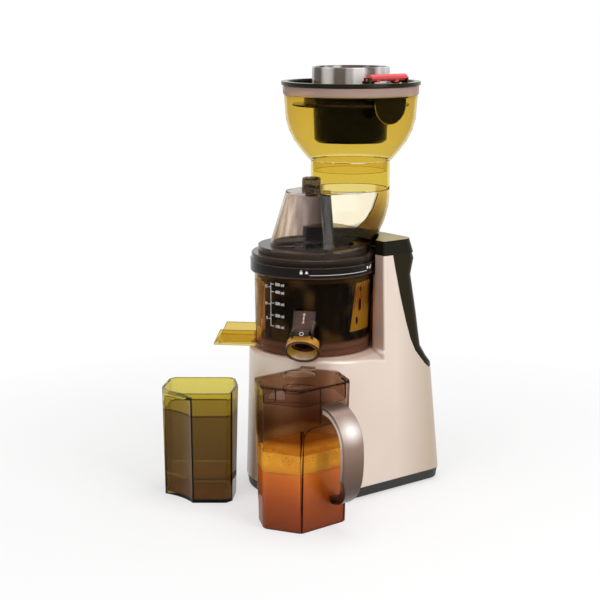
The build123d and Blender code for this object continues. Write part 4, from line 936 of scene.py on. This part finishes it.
def ring_text(name: str, words: str, radius: float, mid_deg: float, z: float, tall: float, align: str) -> Piece:
    """Raised letters on the drum's wall, made a mesh and set against it."""
    deselect()
    bpy.ops.object.text_add(location=(0, 0, 0))
    piece = start(name)
    piece.data.body = words
    piece.data.size = tall
    piece.data.align_x = align
    piece.data.align_y = "CENTER"
    piece.data.extrude = 0.03 * MM
    piece.data.offset = 0.09 * MM
    piece.data.resolution_u = 3
    bpy.ops.object.convert(target="MESH")
    piece = bpy.context.object
    piece.matrix_world = facing_out(mid_deg, radius, z)
    return settle(piece)


# ---------------------------------------------------------------- pieces


@dataclass
class JuiceFill:
    """Juice and foam that stand in the jug."""

    low: tuple = ((133.5, -119.5), (94.0, -142.5), (64.0, -128.0), (60.5, -62.0), (94.0, -40.0), (131.5, -56.0))
    high: tuple = ((137.5, -122.5), (94.0, -146.0), (60.5, -130.5), (57.5, -61.0), (94.0, -38.0), (136.5, -53.5))
    jug_height: float = 162.0
    wall: float = 1.5
    floor: float = 1.6
    corner: float = 3.2
    juice_top: float = 66.0
    foam_top: float = 89.0

    def outline(self, z: float) -> list[Vector]:
        """The jug's inner outline at a height, in the row frame."""
        share = z / self.jug_height
        points = [Vector((a + (c - a) * share, b + (d - b) * share, 0)) for (a, b), (c, d) in zip(self.low, self.high)]
        count = len(points)
        area = sum(points[i].x * points[(i + 1) % count].y - points[(i + 1) % count].x * points[i].y
                   for i in range(count))
        sign = 1.0 if area > 0 else -1.0
        corners = []
        for i, point in enumerate(points):
            before = (point - points[i - 1]).normalized()
            after = (points[(i + 1) % count] - point).normalized()
            inward_a = Vector((-before.y, before.x, 0)) * sign
            inward_b = Vector((-after.y, after.x, 0)) * sign
            bisector = (inward_a + inward_b).normalized()
            reach = self.wall / max(0.2, bisector.dot(inward_a))
            corner = point + bisector * reach
            corners.append(at(corner.x, corner.y, z))
        return corners

    def build(self) -> None:
        """Builds the juice and the foam on it."""
        juice_look = FruitJuice("pressed_juice", tone(206, 120, 42), tone(154, 76, 28), tone(114, 48, 17),
                                self.floor * MM, self.juice_top * MM).build()
        foam_look = FruitFoam("juice_foam", tone(234, 180, 64), tone(208, 144, 42), tone(84, 44, 12)).build()
        juice = prism("juice", self.outline(self.floor), self.outline(self.juice_top), self.corner * MM)
        dress(settle(juice), juice_look, "jug")
        foam = prism("juice_foam", self.outline(self.juice_top + 0.05), self.outline(self.foam_top), self.corner * MM)
        dress(settle(foam), foam_look, "jug")


def wire(name: str, points: list[Vector], thick: float, closed: bool = False) -> Piece:
    """Thin round line through points.

    Args:
        name: Name of the piece.
        points: Its course, in the row frame.
        thick: Radius of the line.
        closed: Whether its end meets its start.

    Returns:
        The new object, made a mesh and settled.
    """
    deselect()
    bpy.ops.curve.primitive_nurbs_path_add(location=(0, 0, 0))
    piece = start(name)
    course = piece.data
    course.splines.clear()
    line = course.splines.new("POLY")
    line.points.add(len(points) - 1)
    for knot, place in zip(line.points, points):
        knot.co = (*place, 1.0)
    line.use_cyclic_u = closed
    course.bevel_depth = thick
    course.bevel_resolution = 2
    course.use_fill_caps = True
    bpy.ops.object.convert(target="MESH")
    return settle(bpy.context.object, 60.0)


def turned_disc(name: str, radius: float, angle_deg: float, z: float, half_size: tuple[float, float], thick: float
                ) -> Piece:
    """Thin bevelled oval that faces away from the drum axis.

    Args:
        name: Name of the piece.
        radius: Distance of its inner face from the drum axis.
        angle_deg: Where it stands round the axis.
        z: Height of its middle.
        half_size: Half its width and half its height.
        thick: Its thickness.

    Returns:
        The new object, settled.
    """
    deselect()
    bpy.ops.mesh.primitive_cylinder_add(vertices=28, radius=1.0, depth=1.0)
    piece = start(name)
    mode("EDIT")
    bpy.ops.mesh.select_all(action="SELECT")
    bpy.ops.transform.resize(value=(half_size[0], half_size[1], thick))
    mode("OBJECT")
    piece.matrix_world = facing_out(angle_deg, radius + thick / 2, z)
    return settle(piece)


@dataclass
class JugTrim:
    """Dark edge of the sunk arch behind the jug's handle, and the lines of its lid; lengths in mm."""

    height: float = 162.0
    arch: tuple = ((-118.6, 2.0), (-118.6, 108.0), (-117.9, 111.0), (-116.6, 113.6), (-114.5, 115.5),
                   (-111.5, 117.6), (-107.0, 119.0), (-66.0, 120.5), (-62.0, 119.2), (-60.0, 117.0), (-58.3, 113.5),
                   (-57.5, 109.0), (-57.5, 2.0))
    near: tuple = (133.5, 4.0)
    far: tuple = (131.5, 5.0)
    lid_lines: tuple = (
        ("lid_line_left", ((110.5, -137.4, 163.5), (110.5, -137.4, 157.4), (110.5, -137.4, 149.0)), 0.7),
        ("lid_line_right", ((137.4, -96.9, 162.1), (137.4, -96.8, 149.8), (137.4, -96.8, 136.3),
                            (137.4, -96.7, 122.8)), 0.7),
        ("skirt_line", ((99.4, -143.4, 146.7), (110.5, -137.4, 148.1), (125.6, -129.2, 150.1), (135.4, -123.9, 151.4),
                        (137.7, -121.0, 150.1), (137.4, -96.8, 145.3), (137.1, -76.4, 143.9),
                        (136.9, -63.6, 144.5)), 0.35),
        ("pour_lip", ((119.9, -132.3, 160.3), (125.6, -129.2, 159.4), (135.9, -123.6, 160.7), (137.7, -121.0, 161.8),
                      (137.6, -114.1, 163.4), (122.4, -98.2, 162.6), (111.8, -105.1, 162.6), (104.5, -116.0, 162.6),
                      (107.8, -125.3, 162.6)), 0.6),
    )
    thick: float = 0.55

    def face(self, y: float, z: float) -> Vector:
        """Place on the jug's flat side under the handle."""
        share = (y + 119.5) / 63.5
        near = self.near[0] + self.near[1] * z / self.height
        far = self.far[0] + self.far[1] * z / self.height
        return at(near + (far - near) * share - 0.35, y, z)

    def build(self) -> None:
        """Builds the lines."""
        look = TopLitPlastic("jug_line", tone(30, 16, 8), 0.5, top_light=tone(70, 52, 42), specular=0.04).build()
        dress(wire("jug_arch_line", [self.face(y, z) for y, z in self.arch], self.thick * MM), look, "jug")
        for tag, points, thick in self.lid_lines:
            dress(wire(f"jug_{tag}", [at(*spot) for spot in points], thick * MM, tag == "pour_lip"), look, "jug")


@dataclass
class SpoutTrim:
    """Lining and dark lip of the spout's mouth, and the tongue, ring and marks of its gate."""

    mouth: Point = (70.2, -70.2, 186.1)
    mouth_way: Point = (0.5255, -0.5255, -0.669)
    lip: tuple[float, float] = (18.9, 1.1)
    sleeve: tuple[float, float] = (17.1, 14.0)
    sleeve_drop: float = 5.4
    tongue: tuple[float, float, float] = (16.0, 8.4, 1.4)
    tongue_middle: float = -11.8
    tongue_lift: float = 19.7
    knob: tuple[float, float] = (2.2, 0.4)
    gate_reach: float = 85.9
    gate_z: float = 218.25
    gate_dip: float = 38.0
    gate_half: float = 2.25

    def on_gate(self, down: float, side: float) -> Vector:
        """Place on the gate's top face, in mm down its slope and to its side."""
        dip = math.radians(self.gate_dip)
        reach = self.gate_reach + down * math.cos(dip) + self.gate_half * math.sin(dip)
        z = self.gate_z - down * math.sin(dip) + self.gate_half * math.cos(dip)
        out = math.sqrt(0.5)
        return at(reach * out + side * out, -reach * out + side * out, z)

    def axes(self) -> tuple[Vector, Vector, Vector]:
        """Directions out of the spout, across it and up from its roof."""
        way = Vector(self.mouth_way).normalized()
        side = Vector((0.5, 0.5, 0.0)).normalized()
        over = side.cross(way)
        return way, side, over if over.z > 0 else -over

    def tongue_piece(self) -> None:
        """Builds the gate's dark tongue over the spout's roof and the pale ring on it, a painted highlight round the
        knob.
        """
        way, side, over = self.axes()
        axes = Matrix((side, way, over)).transposed().to_4x4()
        deselect()
        bpy.ops.mesh.primitive_cube_add(size=1.0)
        plate = start("gate_tongue")
        middle = at(*self.mouth) + way * self.tongue_middle * MM + over * self.tongue_lift * MM
        size = Matrix.Diagonal((self.tongue[0] * MM, self.tongue[1] * MM, self.tongue[2] * MM, 1.0))
        flip = Matrix.Diagonal((1.0 if axes.determinant() > 0 else -1.0, 1.0, 1.0, 1.0))
        plate.matrix_world = Matrix.Translation(middle) @ axes @ flip @ size
        apply_place()
        round_off = plate.modifiers.new("round_off", "BEVEL")
        round_off.width = 0.5 * MM
        round_off.segments = 3
        bpy.ops.object.modifier_apply(modifier=round_off.name)
        look = TopLitPlastic("tongue_smoke", tone(44, 30, 24), 0.35, top_light=tone(84, 66, 56), specular=0.1).build()
        dress(settle(plate), look, "gate")
        deselect()
        spot = middle + way * 1.6 * MM + over * (self.tongue[2] / 2 + 0.1) * MM
        # the pale ring is a painted highlight round the knob's rim
        bpy.ops.mesh.primitive_torus_add(major_radius=self.knob[0] * MM, minor_radius=self.knob[1] * MM,
                                         major_segments=36, minor_segments=8, location=spot,
                                         rotation=over.to_track_quat("Z", "Y").to_euler())
        pale = MouldedPlastic("knob_ring_highlight", tone(206, 198, 190), 0.3).build()
        dress(settle(start("gate_knob_ring")), pale, "gate")

    def build(self, ink: Material) -> None:
        """Builds the sleeve, the lip, the tongue and the marks."""
        deselect()
        way, _, over = self.axes()
        bpy.ops.mesh.primitive_cylinder_add(vertices=64, radius=self.sleeve[0] * MM, depth=self.sleeve[1] * MM,
                                            end_fill_type="NOTHING",
                                            location=at(*self.mouth) - way * (self.sleeve[1] / 2 + 0.6) * MM,
                                            rotation=way.to_track_quat("Z", "Y").to_euler())
        sleeve = start("spout_sleeve")
        apply_place()
        back = -(self.sleeve[1] / 2 + 0.6) * MM
        pick_vertices(sleeve, lambda co: (co - at(*self.mouth)).dot(way) < back)
        bpy.ops.transform.translate(value=-over * self.sleeve_drop * MM)
        mode("OBJECT")
        wall = sleeve.modifiers.new("wall", "SOLIDIFY")
        wall.thickness = 0.6 * MM
        bpy.ops.object.modifier_apply(modifier=wall.name)
        dress(settle(sleeve), SleevePlastic("sleeve_amber", tone(200, 160, 84)).build(), "base")
        deselect()
        bpy.ops.mesh.primitive_torus_add(major_radius=self.lip[0] * MM, minor_radius=self.lip[1] * MM,
                                         major_segments=72, minor_segments=12, location=at(*self.mouth),
                                         rotation=way.to_track_quat("Z", "Y").to_euler())
        lip_look = MouldedPlastic("spout_lip", tone(52, 42, 32), 0.15, coat=0.4).build()
        dress(settle(start("spout_lip")), lip_look, "base")
        self.tongue_piece()
        dress(wire("gate_mark_line", [self.on_gate(-8.5, 0.0), self.on_gate(5.0, 0.0)], 0.28 * MM), ink, "gate")
        for tag, down, half in (("top", -9.2, 1.6), ("middle", -2.6, 1.2), ("low", 3.2, 1.2)):
            points = [self.on_gate(down + half, -half), self.on_gate(down, 0.0), self.on_gate(down + half, half)]
            dress(wire(f"gate_mark_{tag}", points, 0.3 * MM), ink, "gate")


@dataclass
class LidInside:
    """Dark inner wall of the lid and the line where it meets the elbow."""

    wall_top: Point = (0.6, 17.2, 354.0)
    wall_foot: Point = (4.2, 22.0, 293.6)
    radii: tuple[float, float] = (6.6, 5.2)
    sweep: tuple = ((-5.0, 29.6, 293.0), (3.7, 41.0, 296.2), (13.1, 53.2, 305.8), (21.0, 63.5, 319.0),
                    (26.0, 70.0, 332.2), (29.5, 74.5, 350.1))

    def build(self) -> None:
        """Builds the wall and the line."""
        look = TopLitPlastic("lid_inner_wall", tone(14, 12, 8), 0.5, top_light=tone(40, 34, 28), specular=0.03).build()
        deselect()
        foot, top = at(*self.wall_foot), at(*self.wall_top)
        bpy.ops.mesh.primitive_cone_add(vertices=40, radius1=self.radii[1] * MM, radius2=self.radii[0] * MM,
                                        depth=(top.z - foot.z), location=(foot + top) / 2)
        piece = start("lid_inner_wall")
        apply_place()
        middle = (foot.z + top.z) / 2
        shift = Vector((top.x - foot.x, top.y - foot.y, 0.0)) / 2
        pick_vertices(piece, lambda co: co.z > middle)
        bpy.ops.transform.translate(value=shift)
        pick_vertices(piece, lambda co: co.z < middle)
        bpy.ops.transform.translate(value=-shift)
        mode("OBJECT")
        dress(settle(piece), look, "base")
        dress(wire("lid_elbow_line", [at(*spot) for spot in self.sweep], 0.6 * MM), look, "base")


@dataclass
class StrainerRibs:
    """Amber ribs with three oval windows each, which stand on the drum's inner wall on two sides."""

    radius: float = 65.5
    rib: tuple[float, float] = (11.0, 43.0)
    lean: float = 9.0
    span: tuple[float, float] = (198.0, 254.0)
    windows: tuple = ((17.6, 246.6, 1.9, 3.2), (16.4, 228.5, 2.6, 7.6), (11.5, 210.0, 2.0, 4.6))

    def build(self) -> None:
        """Builds the ribs and their windows."""
        amber = TopLitPlastic("rib_amber", tone(176, 156, 74), 0.4, top_light=tone(176, 156, 74), specular=0.05).build()
        dark = TopLitPlastic("rib_window", tone(22, 18, 10), 0.5, top_light=tone(22, 18, 10), specular=0.03).build()
        for tag, turn in (("right", 0.0), ("left", -139.0)):
            middle = (self.span[0] + self.span[1]) / 2 * MM
            rib = arc_bar(f"strainer_rib_{tag}", self.radius * MM, self.rib[0] + turn, self.rib[1] + turn, middle,
                          (0.8 * MM, (self.span[1] - self.span[0]) * MM))
            pick_vertices(rib, lambda co: co.z < middle)
            bpy.ops.transform.rotate(value=math.radians(self.lean), orient_axis="Z", center_override=AXIS)
            mode("OBJECT")
            dress(rib, amber, "base")
            for count, (deg, z, wide, tall) in enumerate(self.windows, 1):
                window = turned_disc(f"strainer_window_{tag}_{count}", (self.radius + 0.45) * MM, deg + turn, z * MM,
                                     (wide * MM, tall * MM), 0.4 * MM)
                dress(window, dark, "base")


@dataclass
class HingePlateTrim:
    """Pale bead along the rounded edge of the plate that hangs from the hinge block."""

    face: float = 71.1
    middle_z: float = 457.5
    radius: float = 23.1

    def build(self) -> None:
        """Builds the bead."""
        look = MouldedPlastic("bead_grey", tone(178, 172, 164), 0.3).build()
        points = []
        for step in range(25):
            turn = math.radians(180.0 + 7.5 * step)
            points.append(at(self.face, HOPPER_BACK + self.radius * math.cos(turn),
                             self.middle_z + self.radius * math.sin(turn)))
        dress(wire("hinge_plate_bead", points, 0.35 * MM), look, "base")


@dataclass
class DrumScale:
    """Printed scale on the drum's wall."""

    radius: float = 69.25 * MM
    line_deg: float = -82.4
    right: tuple = ((254.6, "500 ml"), (245.7, "400 ml"), (232.3, "300 ml"), (218.1, "200 ml"), (205.3, "100 ml"))
    left: tuple = ((250.6, "15"), (230.6, "10"), (213.4, "5"))
    thin: float = 0.06 * MM

    def build(self, ink: Material) -> None:
        """Builds the line, its ticks and its numbers."""
        half = math.degrees(0.35 * MM / self.radius)
        line = arc_bar("scale_line", self.radius, self.line_deg - half, self.line_deg + half,
                       (255.9 + 204.8) / 2 * MM, (self.thin, 51.1 * MM))
        dress(line, ink, "base")
        for rows, near, far, side in ((self.right, 0.0, 4.2, "LEFT"), (self.left, -3.4, 0.0, "RIGHT")):
            for z, words in rows:
                tag = words.replace(" ", "_")
                tick = arc_bar(f"scale_tick_{tag}", self.radius, self.line_deg + near, self.line_deg + far, z * MM,
                               (self.thin, 0.6 * MM))
                dress(tick, ink, "base")
                edge = self.line_deg + (far + 1.4 if side == "LEFT" else near - 1.4)
                label = ring_text(f"scale_number_{tag}", words, self.radius, edge, z * MM, 4.8 * MM, side)
                dress(label, ink, "base")


@dataclass
class RingMarks:
    """Plain marks on the lock ring that show which way it turns."""

    radius: float = 74.05 * MM
    thin: float = 0.06 * MM
    ends: tuple = (("start", -43.6, 271.6, 3, 2.3), ("end", 20.0, 272.0, 24, 1.7))

    def padlock(self, tag: str, deg: float, z: float, open_by: float, ink: Material) -> None:
        """Draws a small plain padlock, its bow moved aside when open."""
        wide = math.degrees(1.5 * MM / self.radius)
        body = arc_bar(f"ring_lock_{tag}_body", self.radius, deg - wide, deg + wide, z * MM, (self.thin, 2.6 * MM))
        dress(body, ink, "ring")
        points = []
        for step in range(9):
            turn = math.pi * step / 8
            swing = math.radians(deg + open_by) + 1.1 * MM / self.radius * math.cos(turn)
            out = Vector((math.cos(swing), math.sin(swing), 0.0)) * (self.radius + self.thin / 2)
            points.append(AXIS + out + Vector((0, 0, (z + 1.2 + 1.9 * math.sin(turn)) * MM)))
        dress(wire(f"ring_lock_{tag}_bow", points, 0.22 * MM), ink, "ring")

    def build(self, ink: Material) -> None:
        """Builds the long line and a mark at each end."""
        self.padlock("shut", -48.5, 271.2, 0.0, ink)
        self.padlock("open", 24.5, 271.2, 1.2, ink)
        line = arc_bar("ring_mark_line", self.radius, -41.0, 19.0, 268.6 * MM, (self.thin, 0.45 * MM))
        dress(line, ink, "ring")
        for tag, deg, z, corners, half in self.ends:
            deselect()
            bpy.ops.mesh.primitive_cylinder_add(vertices=corners, radius=half * MM, depth=self.thin)
            piece = start(f"ring_mark_{tag}")
            piece.matrix_world = facing_out(deg, self.radius + self.thin / 2, z * MM)
            dress(settle(piece), ink, "ring")


# ---------------------------------------------------------------- studio


@dataclass
class Studio:
    """Pale floor, soft lamps, white surroundings and the camera."""

    camera_place: Point = (1269.66, -993.39, 560.18)
    camera_look: Point = (-0.77682, 0.59595, -0.20346)
    lens: float = 83.17
    floor_reach: float = 6.0
    world_light: float = 0.45

    def floor(self) -> None:
        """Lays the floor, which fades into white."""
        deselect()
        bpy.ops.mesh.primitive_circle_add(vertices=96, radius=self.floor_reach, fill_type="NGON",
                                          location=(0, 0, -0.0002))
        piece = start("studio_floor")
        sheet = NodeSheet("studio_floor")
        spot = sheet.node("ShaderNodeVectorMath", {"operation": "LENGTH"}, Vector=sheet.place)
        away = sheet.span(spot.outputs["Value"], 0.25, 0.75, 0.55, 1.0)
        glow = sheet.node("ShaderNodeEmission", Color=(1.0, 1.0, 1.0), Strength=1.0)
        white = sheet.node("ShaderNodeBsdfDiffuse", Color=(0.9, 0.9, 0.9))
        both = sheet.node("ShaderNodeMixShader")
        for key, value in (("#0", sheet.times(sheet.seen(), away)), ("#1", white.outputs[0]), ("#2", glow.outputs[0])):
            sheet.feed(both, key, value)
        sheet.feed(sheet.output, "Surface", both.outputs[0])
        piece.data.materials.append(sheet.material)

    def surroundings(self) -> None:
        """Makes the world white where it is seen, and gentle as a light."""
        world = bpy.data.worlds.new("studio_world")
        bpy.context.scene.world = world
        world.use_nodes = True
        wiring = Wiring(world.node_tree)
        back = world.node_tree.nodes["Background"]
        wiring.feed(back, "Strength", wiring.span(wiring.seen(), 0.0, 1.0, self.world_light, 1.0))
        wiring.feed(back, "Color", (1.0, 1.0, 1.0))

    def lamp(self, name: str, place: Point, goal: Point, size: tuple[float, float], watts: float) -> None:
        """Hangs one soft box, aimed at a point; places are in metres from the drum axis."""
        data = bpy.data.lights.new(name, "AREA")
        data.shape = "RECTANGLE"
        data.size, data.size_y = size
        data.energy = watts
        lamp = bpy.data.objects.new(name, data)
        bpy.context.scene.collection.objects.link(lamp)
        spot = Vector(place) + AXIS
        lamp.location = spot
        lamp.rotation_euler = (Vector(goal) + AXIS - spot).to_track_quat("-Z", "Y").to_euler()

    def camera(self) -> None:
        """Sets the camera."""
        data = bpy.data.cameras.new("camera")
        data.lens = self.lens
        data.sensor_width = 36.0
        data.sensor_fit = "HORIZONTAL"
        camera = bpy.data.objects.new("camera", data)
        bpy.context.scene.collection.objects.link(camera)
        camera.location = at(*self.camera_place)
        camera.rotation_euler = Vector(self.camera_look).to_track_quat("-Z", "Y").to_euler()
        bpy.context.scene.camera = camera

    def build(self) -> None:
        """Sets up everything round the object."""
        self.floor()
        self.surroundings()
        self.lamp("key", (1.6, 0.2, 0.9), (0.0, 0.0, 0.2), (0.9, 1.2), 15.0)
        self.lamp("fill", (0.4, -1.5, 1.2), (0.0, 0.0, 0.25), (0.9, 1.2), 6.0)
        self.lamp("top", (0.1, 0.1, 1.7), (0.0, 0.0, 0.2), (1.0, 1.0), 10.0)
        self.camera()
        bpy.context.scene.view_settings.view_transform = "Standard"


def main() -> None:
    """Builds the visual model and the studio."""
    logging.basicConfig(level=logging.INFO, format="%(name)s: %(message)s")
    dress_nodes()
    JuiceFill().build()
    JugTrim().build()
    ink = PrintedInk("white_ink", tone(232, 230, 226)).build()
    DrumScale().build(ink)
    RingMarks().build(ink)
    SpoutTrim().build(ink)
    LidInside().build()
    StrainerRibs().build()
    HingePlateTrim().build()
    Studio().build()


if __name__ == "__main__":
    main()
